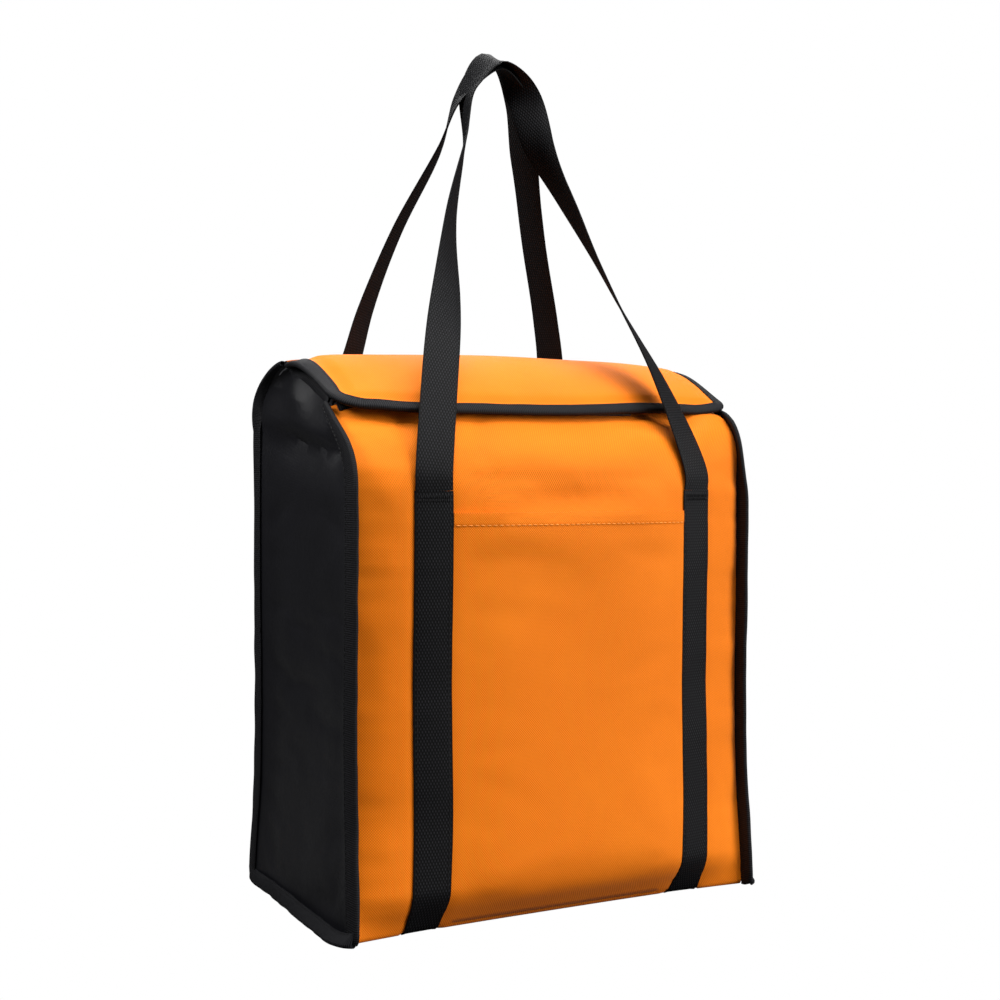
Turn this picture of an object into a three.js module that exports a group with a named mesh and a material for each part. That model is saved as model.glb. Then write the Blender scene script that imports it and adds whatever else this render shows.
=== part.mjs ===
// Insulated shopping tote. One orange panel wraps the front, the base and the back between two black
// gussets. A flap lid folds on its top back edge, and webbing bands run under the base into two handles.
// X runs across the front, Y from front to back and Z up, with the origin under the middle of the base.
import * as THREE from 'three';

// Body, in millimetres and degrees
const bagWidth = 322; // between the two side seams
const bagDepth = 166; // between the front and back panels, at the seams
const topHeight = 395; // floor to the line where the lid folds
const shoulderDrop = 74.5; // from the fold line down to where the front bends back
const shoulderSlope = 42; // degrees above level of the front's sloping top
const shoulderRadius = 45;
const frontTopLength = 56; // from the shoulder to the front edge of the mouth
const backTopRadius = 50;
const baseCornerRadius = 9;

// Swelling of the soft panels
const pillow = 28; // how far the middle of a panel stands out of its seams
const pillowRun = 30; // height above the base at which it is fully swollen
const pillowPower = 3; // higher is flatter across the middle
const pillowWaist = 0.1; // share that is lost halfway up
const pillowMouth = 0.35; // share that is lost over the shoulder
const gussetPinch = 18; // how far the top of a gusset folds inwards
const gussetPinchRun = 55; // how far below the shoulder that fold starts
const gussetRise = 6; // upward bow of a gusset's top edge

// Layers of each wall, from outside to inside
const outerThickness = 0.8;
const foamThickness = 3;
const liningThickness = 0.4;
const seamGap = 0.3; // clearance between pieces that are sewn together

// Lid
const lidOverlapMiddle = 31; // how far the lid reaches past the front edge of the mouth
const lidOverlapEnds = 12;
const lidLiftEnds = 17; // height of the lid's front corners above the seams
const lidLiftPower = 0.7; // lower keeps that lift closer to the corners
const lidCrown = 20; // rise of the lid's curve behind its ridge, in the middle
const lidCrownEnds = 10;
const lidBack = 50; // length over which the lid runs level from its fold
const lidNose = 42; // length over which its front follows the shoulder's slope
const closureWidth = 16; // hook and loop strips
const closureThickness = 1.5;
const closureInset = 7; // from the edge of the mouth to the loop strip
const closureGap = 2; // between the two strips at the lid's front edge

// Seam binding
const bindingLeg = 6; // cover on each side of a bound edge
const bindingTape = 0.7;
const bindingStart = 5; // from the fold to where the lid's binding begins
const bindingMitre = 7; // from a corner of the lid to where its tape runs straight
const flangeReach = 12; // how far a side seam stands out of the front and the back
const flangeTuck = 4; // how far it shows where it is turned flat, along the base and at the fold
const flangeThickness = 3.5;
const flangeRound = 1.2;
const flangeLean = 3; // degrees by which it leans in over the panel
const flangeOffset = 1.4; // from the gusset's face out to the middle of its root
const flangeGap = 0.8; // between its root and the corner it is sewn to

// Webbing, handles and pocket
const strapWidth = 26;
const strapThickness = 1.6;
const strapSpacing = 217; // between the middles of the two bands
const strapEndGap = 0.4; // between a sewn band and the free handle above it
const handleRise = 332.5; // from the sewn end to the top of the front loop
const handleNest = 4; // distance between the two loops where they lie together
const handleTilt = 30; // degrees by which the top of a loop tips towards the front
const frontHandleTopY = 14;
const pocketDrop = 15; // from the top of the sewn bands down to the pocket's mouth
const pocketThickness = 0.8;

// Each handle leg as shares of its rise, of its distance from the middle and of its lean to the top.
const frontLeg = [
  [0.244, 0.85, 0.198],
  [0.427, 0.671, 0.439],
  [0.61, 0.504, 0.666],
  [0.793, 0.349, 0.857],
  [0.915, 0.29, 0.957],
];
const backLeg = [
  [0.15, 0.925, 0.01],
  [0.3, 0.836, 0.295],
  [0.427, 0.747, 0.388],
  [0.61, 0.564, 0.556],
  [0.793, 0.36, 0.736],
  [0.915, 0.255, 0.883],
];
// Where each leg's twist starts and ends along its rise, and the way its band faces at the sewn end.
const frontTwist = { left: [0.2, 1], right: [0, 0.85], rightFacing: 1 };
const backTwist = { left: [0, 0.95], right: [0, 0.85], rightFacing: -1 };

const orangeOxford = { color: 0xf58a20, roughness: 0.85, metalness: 0 };
const blackOxford = { color: 0x222226, roughness: 0.7, metalness: 0 };
const blackTape = { color: 0x2a2a2d, roughness: 0.75, metalness: 0 };
const blackWebbing = { color: 0x1d1d1f, roughness: 0.65, metalness: 0 };
const whiteFoam = { color: 0xe9e8e2, roughness: 0.9, metalness: 0 };
const silverFoil = { color: 0xc4c8cc, roughness: 0.35, metalness: 0.7 };

// Values that follow from the driving dimensions
const halfWidth = bagWidth / 2;
const halfDepth = bagDepth / 2;
const stack = outerThickness + foamThickness + liningThickness + 2 * seamGap;
const foamOuter = -(outerThickness + seamGap);
const foamInner = foamOuter - foamThickness;
const liningOuter = foamInner - seamGap;
const strapInner = strapSpacing / 2 - strapWidth / 2;
const strapOuter = strapSpacing / 2 + strapWidth / 2;
const strapFace = seamGap + strapThickness;
const lidLiftMiddle = 2 * (closureThickness + seamGap) + closureGap;

const slope = THREE.MathUtils.degToRad(shoulderSlope);
const shoulderTurn = Math.PI / 2 - slope;
const shoulderTangent = shoulderRadius * Math.tan(shoulderTurn / 2);
const shoulderHeight = topHeight - shoulderDrop;
const baseHeight = strapFace; // the base rests on the two bands
const faceTop = shoulderHeight - shoulderTangent;
const faceBottom = baseHeight + baseCornerRadius;
const backFaceTop = topHeight - backTopRadius;
const foldY = halfDepth - backTopRadius;

const mix = THREE.MathUtils.lerp;
const ease = THREE.MathUtils.smoothstep;
const point2 = (y, z) => new THREE.Vector2(y, z);

// Positions that split a length evenly, without its end.
function split(from, to, cells) {
  return Array.from({ length: cells }, (_, i) => mix(from, to, i / cells));
}

// Side seam, drawn in the YZ plane from the front edge of the mouth, under the base, to the fold.
function upTheSlope(length) {
  return point2(-halfDepth + length * Math.cos(slope), shoulderHeight + length * Math.sin(slope));
}
function bend(y, z, radius, from, to) {
  return new THREE.EllipseCurve(y, z, radius, radius, from, to, false);
}
const frontFaceTop = point2(-halfDepth, faceTop);
const frontFaceBottom = point2(-halfDepth, faceBottom);
const baseFront = point2(-halfDepth + baseCornerRadius, baseHeight);
const baseBack = point2(halfDepth - baseCornerRadius, baseHeight);
const backFaceBottom = point2(halfDepth, faceBottom);
const backFaceEnd = point2(halfDepth, backFaceTop);
const quarter = Math.PI / 2;

const seam = new THREE.CurvePath();
seam.add(new THREE.LineCurve(upTheSlope(frontTopLength), upTheSlope(shoulderTangent)));
seam.add(bend(-halfDepth + shoulderRadius, faceTop, shoulderRadius, Math.PI - shoulderTurn, Math.PI));
seam.add(new THREE.LineCurve(frontFaceTop, frontFaceBottom));
seam.add(bend(baseFront.x, faceBottom, baseCornerRadius, Math.PI, 3 * quarter));
seam.add(new THREE.LineCurve(baseFront, baseBack));
seam.add(bend(baseBack.x, faceBottom, baseCornerRadius, 3 * quarter, 4 * quarter));
seam.add(new THREE.LineCurve(backFaceBottom, backFaceEnd));
seam.add(bend(foldY, backFaceTop, backTopRadius, 0, quarter));

const seamEnds = seam.getCurveLengths();
const seamLength = seam.getLength();
const [slopeEnd, frontFaceStart, frontFaceEnd, baseStart, baseEnd, backFaceStart, backTopStart] = seamEnds;
const frontStrapTop = frontFaceStart;
const pocketTop = frontStrapTop + pocketDrop;
const rollHeight = baseHeight + pillowRun - faceBottom; // of the rounded foot of a wall
const frontRollStart = frontFaceEnd - rollHeight;
const backRollEnd = backFaceStart + rollHeight;
const backStrapTop = backFaceStart + faceTop - faceBottom;

// Point on the seam at a distance from the mouth's edge, with the direction that faces out of the bag.
function seamAt(distance) {
  const at = seam.getPoint(distance / seamLength);
  const along = seam.getTangent(distance / seamLength);
  return { y: at.x, z: at.y, outY: along.y, outZ: -along.x };
}

// Share of the swelling across the bag: none at the seams, all of it in the middle.
function swell(x) {
  return 1 - Math.abs(x / halfWidth) ** pillowPower;
}

// How far the wrap stands out of its seams.
function pillowAt(x, distance) {
  const { z } = seamAt(distance);
  const fromBase = ease(z, baseHeight, baseHeight + pillowRun);
  const halfway = THREE.MathUtils.clamp((z - pillowRun) / (faceTop - pillowRun), 0, 1);
  const waist = 1 - pillowWaist * Math.sin(Math.PI * halfway) ** 2;
  const toMouth = 1 - pillowMouth * (1 - ease(distance, slopeEnd, frontFaceStart));
  const toFold = 1 - ease(distance, backStrapTop, seamLength);
  return pillow * swell(x) * fromBase * waist * toMouth * toFold;
}

// Point of the wrap's outer face, moved out by a distance.
function wrapPoint(x, distance, out) {
  const at = seamAt(distance);
  const away = pillowAt(x, distance) + out;
  return new THREE.Vector3(x, at.y + at.outY * away, at.z + at.outZ * away);
}

// Closed slab between two grids of points: place(i, j, outer) gives a grid's point. Both grids are cut
// into triangles the same way, so that layers with the same grid lines never cross.
function slab(columns, rows, place) {
  const points = [];
  for (const outer of [true, false]) {
    for (let j = 0; j <= rows; j++) {
      for (let i = 0; i <= columns; i++) points.push(...place(i, j, outer).toArray());
    }
  }
  const innerStart = (columns + 1) * (rows + 1);
  const at = (i, j) => j * (columns + 1) + i;
  const faces = [];
  for (let j = 0; j < rows; j++) {
    for (let i = 0; i < columns; i++) {
      const [a, b, c, d] = [at(i, j), at(i + 1, j), at(i + 1, j + 1), at(i, j + 1)];
      faces.push(a, b, c, a, c, d);
      faces.push(...[a, c, b, a, d, c].map((corner) => corner + innerStart));
    }
  }
  const rim = [];
  for (let i = 0; i < columns; i++) rim.push(at(i, 0));
  for (let j = 0; j < rows; j++) rim.push(at(columns, j));
  for (let i = columns; i > 0; i--) rim.push(at(i, rows));
  for (let j = rows; j > 0; j--) rim.push(at(0, j));
  rim.forEach((a, n) => {
    const b = rim[(n + 1) % rim.length];
    faces.push(b, a, a + innerStart, b, a + innerStart, b + innerStart);
  });
  const geometry = new THREE.BufferGeometry();
  geometry.setAttribute('position', new THREE.Float32BufferAttribute(points, 3));
  geometry.setIndex(faces);
  if (signedVolume(geometry) < 0) geometry.setIndex(faces.reverse());
  geometry.computeVertexNormals();
  return geometry;
}

// Volume inside a closed mesh, negative where its faces point in.
function signedVolume(geometry) {
  const corners = [0, 1, 2].map(() => new THREE.Vector3());
  const { index } = geometry;
  let volume = 0;
  for (let n = 0; n < index.count; n += 3) {
    corners.forEach((corner, k) => corner.fromBufferAttribute(geometry.attributes.position, index.getX(n + k)));
    volume += corners[0].dot(corners[1].cross(corners[2])) / 6;
  }
  return volume;
}

const bag = new THREE.Group();

function addPiece(name, geometry, finish) {
  const mesh = new THREE.Mesh(geometry, new THREE.MeshStandardMaterial(finish));
  mesh.name = name;
  bag.add(mesh);
}

// Grid lines that every layer of the wrap and the lid shares, so that the layers stay parallel
const slopeCells = 2;
const bendCells = 4;
const faceCells = 6;
const rollCells = 2;
const baseCells = 4;
const crownCells = 7;
const lidCells = 6;
const bindingLine = halfWidth - bindingLeg;
const rightLines = [strapInner / 2, strapInner, strapOuter, bindingLine, halfWidth];
const acrossLines = [...rightLines.map((x) => -x).reverse(), 0, ...rightLines];
const betweenStraps = [-strapInner, -strapInner / 2, 0, strapInner / 2, strapInner];
const frontLines = [
  ...split(0, slopeEnd, slopeCells),
  ...split(slopeEnd, frontFaceStart, bendCells),
  frontStrapTop,
  ...split(pocketTop, frontRollStart, faceCells),
  ...split(frontRollStart, frontFaceEnd, rollCells),
  ...split(frontFaceEnd, baseStart, bendCells),
  baseStart,
];
const baseLines = [...split(baseStart, baseEnd, baseCells), baseEnd];
const backLines = [
  ...split(baseEnd, backFaceStart, bendCells),
  ...split(backFaceStart, backRollEnd, rollCells),
  ...split(backRollEnd, backStrapTop, faceCells),
  backStrapTop,
  ...split(backTopStart, seamLength, crownCells),
  seamLength,
];
const wrapLines = [...frontLines, ...baseLines.slice(1), ...backLines.slice(1)];

// Layer of the wrap between two distances from its outer face.
function wrapLayer(across, along, inner, outer) {
  return slab(across.length - 1, along.length - 1, (i, j, out) => {
    return wrapPoint(across[i], along[j], out ? outer : inner);
  });
}

// Grid lines with both ends drawn in by half a seam gap, for foam that meets the next foam
function drawnIn(lines) {
  const inner = lines.slice(1, -1);
  return [lines[0] + seamGap / 2, ...inner, lines[lines.length - 1] - seamGap / 2];
}

function buildWrap() {
  addPiece('outer_wrap', wrapLayer(acrossLines, wrapLines, -outerThickness, 0), orangeOxford);
  addPiece('front_foam', wrapLayer(acrossLines, drawnIn(frontLines), foamInner, foamOuter), whiteFoam);
  addPiece('base_foam', wrapLayer(acrossLines, drawnIn(baseLines), foamInner, foamOuter), whiteFoam);
  addPiece('back_foam', wrapLayer(acrossLines, drawnIn(backLines), foamInner, foamOuter), whiteFoam);
  addPiece('wrap_lining', wrapLayer(acrossLines, wrapLines, -stack, liningOuter), silverFoil);
}

// Gussets, each a panel between the wrap's front and back walls. Grid rows run up from the base.
const gussetTop = frontLines.length - 1;
const gussetClear = -(stack + seamGap);
const gussetBoundShares = [0.06, 0.25, 0.5, 0.75, 0.94]; // columns under the mouth binding
const gussetShares = [0, ...gussetBoundShares, 1];

// Place in the YZ plane on a gusset's row, at a share from front to back.
function gussetPlace(share, row) {
  const front = seamAt(frontLines[gussetTop - row]);
  const back = seamAt(backLines[row]);
  const y = mix(front.y + front.outY * gussetClear, back.y + back.outY * gussetClear, share);
  const z = mix(front.z + front.outZ * gussetClear, back.z + back.outZ * gussetClear, share);
  const bow = gussetRise * 4 * share * (1 - share) * ease(z, faceTop, topHeight);
  return point2(y, z + bow);
}

// Step from the top edge of a gusset to the foot of its binding, halfway between plumb and the front seam.
const gussetHem = point2(-Math.sin(shoulderTurn / 2), -Math.cos(shoulderTurn / 2)).multiplyScalar(bindingLeg);

// Place on the hem row, which is a plain strip between the seams.
function hemPlace(share) {
  const top = gussetPlace(share, gussetTop);
  if (gussetBoundShares.includes(share)) return top.add(gussetHem);
  return top.lerp(gussetPlace(share, gussetTop - 1), 0.5);
}

// Point of a gusset, sunk by a depth. Its top folds inwards, by the same amount from the hem up.
function gussetPoint(side, share, place, foldLevel, depth) {
  const fold = gussetPinch * Math.sin(Math.PI * share) * ease(foldLevel, faceTop - gussetPinchRun, faceTop);
  return new THREE.Vector3(side * (halfWidth - depth - fold), place.x, place.y);
}

function gussetLayer(side, inner, outer) {
  return slab(gussetShares.length - 1, gussetTop + 1, (i, j, out) => {
    const share = gussetShares[i];
    const rows = Math.min(j, gussetTop - 1);
    const places = { [gussetTop]: hemPlace(share), [gussetTop + 1]: gussetPlace(share, gussetTop) };
    const place = places[j] ?? gussetPlace(share, j);
    return gussetPoint(side, share, place, gussetPlace(share, rows).y, out ? outer : inner);
  });
}

function buildGusset(name, side) {
  addPiece(`${name}_gusset`, gussetLayer(side, outerThickness, 0), blackOxford);
  addPiece(`${name}_gusset_foam`, gussetLayer(side, -foamInner, -foamOuter), whiteFoam);
  addPiece(`${name}_gusset_lining`, gussetLayer(side, stack, -liningOuter), silverFoil);
}

// Lid, a curve from the fold to a front edge that lies over the front of the mouth
const lidFoldSpeed = 3 * lidBack;
const lidNoseSpeed = 3 * lidNose;
const closureFront = 1 - (lidOverlapMiddle - closureInset - closureWidth) / lidNoseSpeed;
const closureBack = closureFront - closureWidth / lidNoseSpeed;
const lidLines = [...split(seamGap / lidFoldSpeed, closureBack, lidCells), closureBack, closureFront, 1];

function lidCurve(x) {
  const middle = swell(x);
  const overlap = mix(lidOverlapEnds, lidOverlapMiddle, middle);
  const under = seamAt(overlap);
  const lift = mix(lidLiftEnds, lidLiftMiddle, middle ** lidLiftPower);
  const away = pillowAt(x, overlap) + lift + stack;
  const front = point2(under.y + under.outY * away, under.z + under.outZ * away);
  const nose = point2(front.x + lidNose * Math.cos(slope), front.y + lidNose * Math.sin(slope));
  const back = point2(foldY - lidBack, topHeight + mix(lidCrownEnds, lidCrown, middle));
  return new THREE.CubicBezierCurve(point2(foldY, topHeight), back, nose, front);
}

// Point of the lid's outer face at a share from fold to front edge, and its outward direction.
function lidAt(x, share) {
  const curve = lidCurve(x);
  const at = curve.getPoint(share);
  const along = curve.getTangent(share);
  return { at: new THREE.Vector3(x, at.x, at.y), out: new THREE.Vector3(0, along.y, -along.x) };
}

function lidLayer(across, along, inner, outer) {
  return slab(across.length - 1, along.length - 1, (i, j, out) => {
    const place = lidAt(across[i], along[j]);
    return place.at.addScaledVector(place.out, out ? outer : inner);
  });
}

function buildLid() {
  const stripOuter = -(stack + seamGap);
  const stripLines = [closureBack, closureFront];
  addPiece('lid_panel', lidLayer(acrossLines, lidLines, -outerThickness, 0), orangeOxford);
  addPiece('lid_foam', lidLayer(acrossLines, lidLines, foamInner, foamOuter), whiteFoam);
  addPiece('lid_lining', lidLayer(acrossLines, lidLines, -stack, liningOuter), silverFoil);
  const hooks = lidLayer(betweenStraps, stripLines, stripOuter - closureThickness, stripOuter);
  addPiece('hook_strip', hooks, blackTape);
}

// Folded tape over a bound edge: the corners of its outer and inner faces at one place along it.
// edge is on the wall's outer face, leg runs from it down the wall, and out faces away from the wall.
function channelCorners(edge, leg, out) {
  const outer = seamGap + bindingTape;
  const corner = (down, away) => {
    return edge.clone().addScaledVector(leg, down / bindingLeg).addScaledVector(out, away);
  };
  return {
    outer: [corner(bindingLeg, outer), corner(-outer, outer), corner(-outer, -stack - outer),
      corner(bindingLeg, -stack - outer)],
    inner: [corner(bindingLeg, seamGap), corner(-seamGap, seamGap), corner(-seamGap, -stack - seamGap),
      corner(bindingLeg, -stack - seamGap)],
  };
}

function channel(sections) {
  return slab(3, sections.length - 1, (i, j, out) => (out ? sections[j].outer[i] : sections[j].inner[i]));
}

// The lid's tape goes down one side, along the front with mitred corners, and up the other side.
function buildLidBinding() {
  const start = bindingStart / lidFoldSpeed;
  const inset = bindingLeg / lidNoseSpeed;
  const section = (x, share, dx, dShare) => {
    const { at, out } = lidAt(x, share);
    const leg = lidAt(x + dx, share + dShare).at.sub(at);
    return channelCorners(at, leg, out);
  };
  const sideShares = [start, ...lidLines.slice(1, -1)];
  const left = sideShares.map((share) => section(-halfWidth, share, bindingLeg, 0));
  const right = sideShares.map((share) => section(halfWidth, share, -bindingLeg, 0)).reverse();
  const straightEnd = halfWidth - bindingMitre;
  const frontStops = [-straightEnd, ...acrossLines.slice(2, -2), straightEnd];
  const front = frontStops.map((x) => section(x, 1, 0, -inset));
  const leftCorner = section(-halfWidth, 1, bindingLeg, -inset);
  const rightCorner = section(halfWidth, 1, -bindingLeg, -inset);
  addPiece('lid_binding', channel([...left, leftCorner, ...front, rightCorner, ...right]), blackTape);
}

// The mouth is bound along the front panel's top edge and along the top edge of each gusset.
function buildMouthBindings() {
  const end = halfWidth - stack - bindingTape - 3 * seamGap;
  const lines = [-end, ...acrossLines.slice(2, -2), end];
  const sections = lines.map((x) => {
    const edge = wrapPoint(x, 0, 0);
    const leg = wrapPoint(x, bindingLeg, 0).sub(edge);
    const { outY, outZ } = seamAt(0);
    return channelCorners(edge, leg, new THREE.Vector3(0, outY, outZ));
  });
  addPiece('front_mouth_binding', channel(sections), blackTape);
}

function buildGussetBinding(name, side) {
  const hem = new THREE.Vector3(0, gussetHem.x, gussetHem.y);
  const sections = gussetBoundShares.map((share) => {
    const foldLevel = gussetPlace(share, gussetTop - 1).y;
    const edge = gussetPoint(side, share, gussetPlace(share, gussetTop), foldLevel, 0);
    return channelCorners(edge, hem, new THREE.Vector3(side, 0, 0));
  });
  addPiece(`${name}_mouth_binding`, channel(sections), blackTape);
}

// Side seams stand out as a bound flange in line with the gusset, and are turned flat along the base and
// towards the fold.
function buildSeamBinding(name, side) {
  const lines = wrapLines.slice(0, -1);
  const across = new THREE.Vector3(side, 0, 0);
  const half = flangeThickness / 2;
  const lean = THREE.MathUtils.degToRad(flangeLean);
  const geometry = slab(2, lines.length - 1, (i, j, out) => {
    const at = seamAt(lines[j]);
    const away = new THREE.Vector3(0, at.outY, at.outZ);
    const flat = lines[j] < frontFaceEnd ? 0 : Math.abs(at.outZ);
    const angle = mix(-lean, quarter, flat);
    const reach = away.clone().multiplyScalar(Math.cos(angle)).addScaledVector(across, Math.sin(angle));
    const rise = away.clone().multiplyScalar(-Math.sin(angle)).addScaledVector(across, Math.cos(angle));
    const tip = mix(flangeReach, flangeTuck, flat);
    const [along, height] = [[0, half], [tip - flangeRound, half], [tip, half - flangeRound]][i];
    return new THREE.Vector3(side * halfWidth, at.y, at.z)
      .addScaledVector(away, mix(flangeGap, seamGap - half, flat))
      .addScaledVector(across, mix(flangeOffset, flangeGap, flat))
      .addScaledVector(reach, along)
      .addScaledVector(rise, out ? height : -height);
  });
  addPiece(`${name}_seam_binding`, geometry, blackTape);
}

// Webbing bands, sewn up the front, under the base and up the back
const strapLines = wrapLines.filter((s) => s >= frontStrapTop && s <= backStrapTop);

function buildWebbing(name, side) {
  const edges = side < 0 ? [-strapOuter, -strapInner] : [strapInner, strapOuter];
  addPiece(`${name}_webbing`, wrapLayer(edges, strapLines, seamGap, strapFace), blackWebbing);
}

// Handle: a flat band from one sewn end over the top to the other, twisted a quarter turn on each leg
const handleSteps = 44;

function handleBand(sewnAt, legs, topY, rise, twist) {
  const middle = seamGap + strapThickness / 2;
  const foot = wrapPoint(strapSpacing / 2, sewnAt, middle);
  foot.z += strapEndGap;
  const straight = foot.clone();
  straight.z += strapWidth / 2;
  const leg = [foot, straight];
  for (const [up, spread, lean] of legs) {
    leg.push(new THREE.Vector3(foot.x * spread, mix(foot.y, topY, lean), foot.z + rise * up));
  }
  const top = new THREE.Vector3(0, topY, foot.z + rise);
  const mirrored = leg.map((at) => new THREE.Vector3(-at.x, at.y, at.z));
  const curve = new THREE.CatmullRomCurve3([...mirrored, top, ...leg.reverse()]);

  const tilt = THREE.MathUtils.degToRad(handleTilt);
  const topAcross = new THREE.Vector3(0, Math.cos(tilt), Math.sin(tilt));
  const inner = wrapPoint(strapInner, sewnAt, middle);
  const rightAcross = wrapPoint(strapOuter, sewnAt, middle).sub(inner).normalize();
  const leftAcross = new THREE.Vector3(rightAcross.x, -rightAcross.y, rightAcross.z);
  rightAcross.multiplyScalar(twist.rightFacing);

  return slab(1, handleSteps, (i, j, out) => {
    const share = j / handleSteps;
    const at = curve.getPointAt(share);
    const along = curve.getTangentAt(share);
    const height = (at.z - foot.z) / rise;
    const [from, to] = share < 0.5 ? twist.left : twist.right;
    const across = (share < 0.5 ? leftAcross : rightAcross).clone().lerp(topAcross, ease(height, from, to));
    across.addScaledVector(along, -across.dot(along)).normalize();
    const face = new THREE.Vector3().crossVectors(along, across);
    return at
      .addScaledVector(across, (i - 0.5) * strapWidth)
      .addScaledVector(face, (out ? 0.5 : -0.5) * strapThickness);
  });
}

function buildHandles() {
  const tilt = THREE.MathUtils.degToRad(handleTilt);
  const backTopY = frontHandleTopY + handleNest * Math.sin(tilt);
  const backRise = handleRise - handleNest * Math.cos(tilt);
  const front = handleBand(frontStrapTop, frontLeg, frontHandleTopY, handleRise, frontTwist);
  const back = handleBand(backStrapTop, backLeg, backTopY, backRise, backTwist);
  addPiece('front_handle', front, blackWebbing);
  addPiece('back_handle', back, blackWebbing);
}

// Flat slip pocket between the bands, open at its top
function buildPocket() {
  const edge = strapInner - seamGap;
  const across = [-edge, ...betweenStraps.slice(1, -1), edge];
  const lines = wrapLines.filter((s) => s >= pocketTop && s <= frontFaceEnd);
  const geometry = wrapLayer(across, lines, seamGap, seamGap + pocketThickness);
  addPiece('front_pocket', geometry, orangeOxford);
}

function buildLoopStrip() {
  const lines = [closureInset, closureInset + closureWidth];
  const geometry = wrapLayer(betweenStraps, lines, seamGap, seamGap + closureThickness);
  addPiece('loop_strip', geometry, blackTape);
}

buildWrap();
buildLid();
buildLidBinding();
buildMouthBindings();
buildHandles();
buildPocket();
buildLoopStrip();
for (const [name, side] of [['left', -1], ['right', 1]]) {
  buildGusset(name, side);
  buildGussetBinding(name, side);
  buildSeamBinding(name, side);
  buildWebbing(name, side);
}

export default bag;
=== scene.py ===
"""Looks of the cooler tote bag: soft walls, bound seams, webbing, stitching and a plain studio."""

import bisect
import logging
import math
from dataclasses import dataclass, field
from enum import Enum
from itertools import accumulate, pairwise
from typing import Any, Callable, Iterable, NamedTuple, Sequence

import bmesh
import bpy
from mathutils import Matrix, Vector, noise
from mathutils.geometry import interpolate_bezier


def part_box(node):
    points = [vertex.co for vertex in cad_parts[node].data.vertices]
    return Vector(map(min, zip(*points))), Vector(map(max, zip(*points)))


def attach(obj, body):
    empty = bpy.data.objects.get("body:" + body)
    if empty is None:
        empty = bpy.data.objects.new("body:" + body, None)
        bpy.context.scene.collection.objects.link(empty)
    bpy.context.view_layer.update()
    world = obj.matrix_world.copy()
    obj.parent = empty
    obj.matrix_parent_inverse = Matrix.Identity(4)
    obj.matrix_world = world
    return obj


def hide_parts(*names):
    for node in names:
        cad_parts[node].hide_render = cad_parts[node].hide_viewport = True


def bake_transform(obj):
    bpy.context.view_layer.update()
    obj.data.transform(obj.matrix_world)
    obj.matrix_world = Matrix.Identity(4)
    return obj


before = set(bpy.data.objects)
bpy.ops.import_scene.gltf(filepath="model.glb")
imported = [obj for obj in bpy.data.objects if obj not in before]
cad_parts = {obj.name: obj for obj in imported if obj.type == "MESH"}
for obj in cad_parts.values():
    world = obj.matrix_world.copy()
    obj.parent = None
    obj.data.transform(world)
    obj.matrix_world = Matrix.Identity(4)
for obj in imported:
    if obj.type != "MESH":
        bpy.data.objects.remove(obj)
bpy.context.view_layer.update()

LOG = logging.getLogger("cooler_bag")
CLOTH_MAP = "cloth"
TURN = 2 * math.pi

Colour = tuple[float, float, float, float]
Corner = tuple[float, float]
Place = Callable[[float, float], Vector]
SectionPlace = Callable[[Corner, float], Vector]


class End(Enum):
    """The two ends of an axis, by their sign."""

    @property
    def word(self) -> str:
        """The end's name as pieces spell it."""
        return self.name.lower()


class Side(End):
    """The two ends of the bag, by the sign of X."""

    LEFT = -1
    RIGHT = 1


class Face(End):
    """The two long faces of the bag, by the sign of Y."""

    FRONT = -1
    BACK = 1


class Seed(float, Enum):
    """Patterns of the soft noise, one for each kind of slack."""

    GATHER = 1.3
    SAG = 2.2
    FINE_GATHER = 4.1
    TUCK = 6.7
    GUSSET = 12.5
    FINE_GUSSET = 14.5
    FLANGE = 22.5
    FINE_FLANGE = 23.5
    LID = 31.0
    LID_GATHER = 33.0
    FOOT = 41.0
    FINE_FOOT = 43.0

    def on(self, side: Side) -> float:
        """The pattern on one side of the bag."""
        return self.value + 1.5 * side.value


def clamp(value: float, low: float = 0.0, high: float = 1.0) -> float:
    """A value kept between two limits."""
    return min(max(value, low), high)


def mix(start: float, end: float, share: float) -> float:
    """A value at a share of the way from start to end."""
    return start + (end - start) * share


def ease(value: float, low: float, high: float) -> float:
    """A smooth step from 0 at low to 1 at high."""
    share = clamp((value - low) / (high - low))
    return share * share * (3 - 2 * share)


def hill(value: float, centre: float, reach: float) -> float:
    """A bell that is 1 at its centre and fades over its reach."""
    return math.exp(-(((value - centre) / reach) ** 2))


def steps(start: float, end: float, cell: float) -> list[float]:
    """Even positions from start to end, no further apart than a cell."""
    count = max(1, math.ceil(abs(end - start) / cell))
    return [mix(start, end, i / count) for i in range(count + 1)]


def joined(*stretches: Sequence[float]) -> list[float]:
    """Several runs of positions as one, without the shared ends twice."""
    line = list(stretches[0])
    for stretch in stretches[1:]:
        line.extend(stretch[1:])
    return line


def running(lengths: Iterable[float]) -> list[float]:
    """The distance travelled before each of several stretches, and after the last."""
    return list(accumulate(lengths, initial=0.0))


def along_table(table: Sequence[tuple[float, float]], value: float, blur: float = 0.0) -> float:
    """The height of a line through (place, height) pairs.

    Args:
        table: the pairs, in order of place.
        value: the place asked for.
        blur: how far to each side the height is averaged, which rounds the line's corners.

    Returns:
        The height.
    """
    if blur:
        return sum(along_table(table, value + blur * k / 3) for k in range(-3, 4)) / 7
    for (start, low), (end, high) in pairwise(table):
        if value <= end:
            return mix(low, high, max((value - start) / (end - start), 0.0))
    return table[-1][1]


def ripple(x: float, y: float, scale: float, seed: float) -> float:
    """Soft noise between about -1 and 1 that repeats on every run.

    Args:
        x: first place on the cloth, in metres.
        y: second place on the cloth, in metres.
        scale: size of one ripple, in metres.
        seed: picks another pattern.

    Returns:
        The noise at that place.
    """
    return noise.noise(Vector((x / scale, y / scale, seed)))


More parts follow.
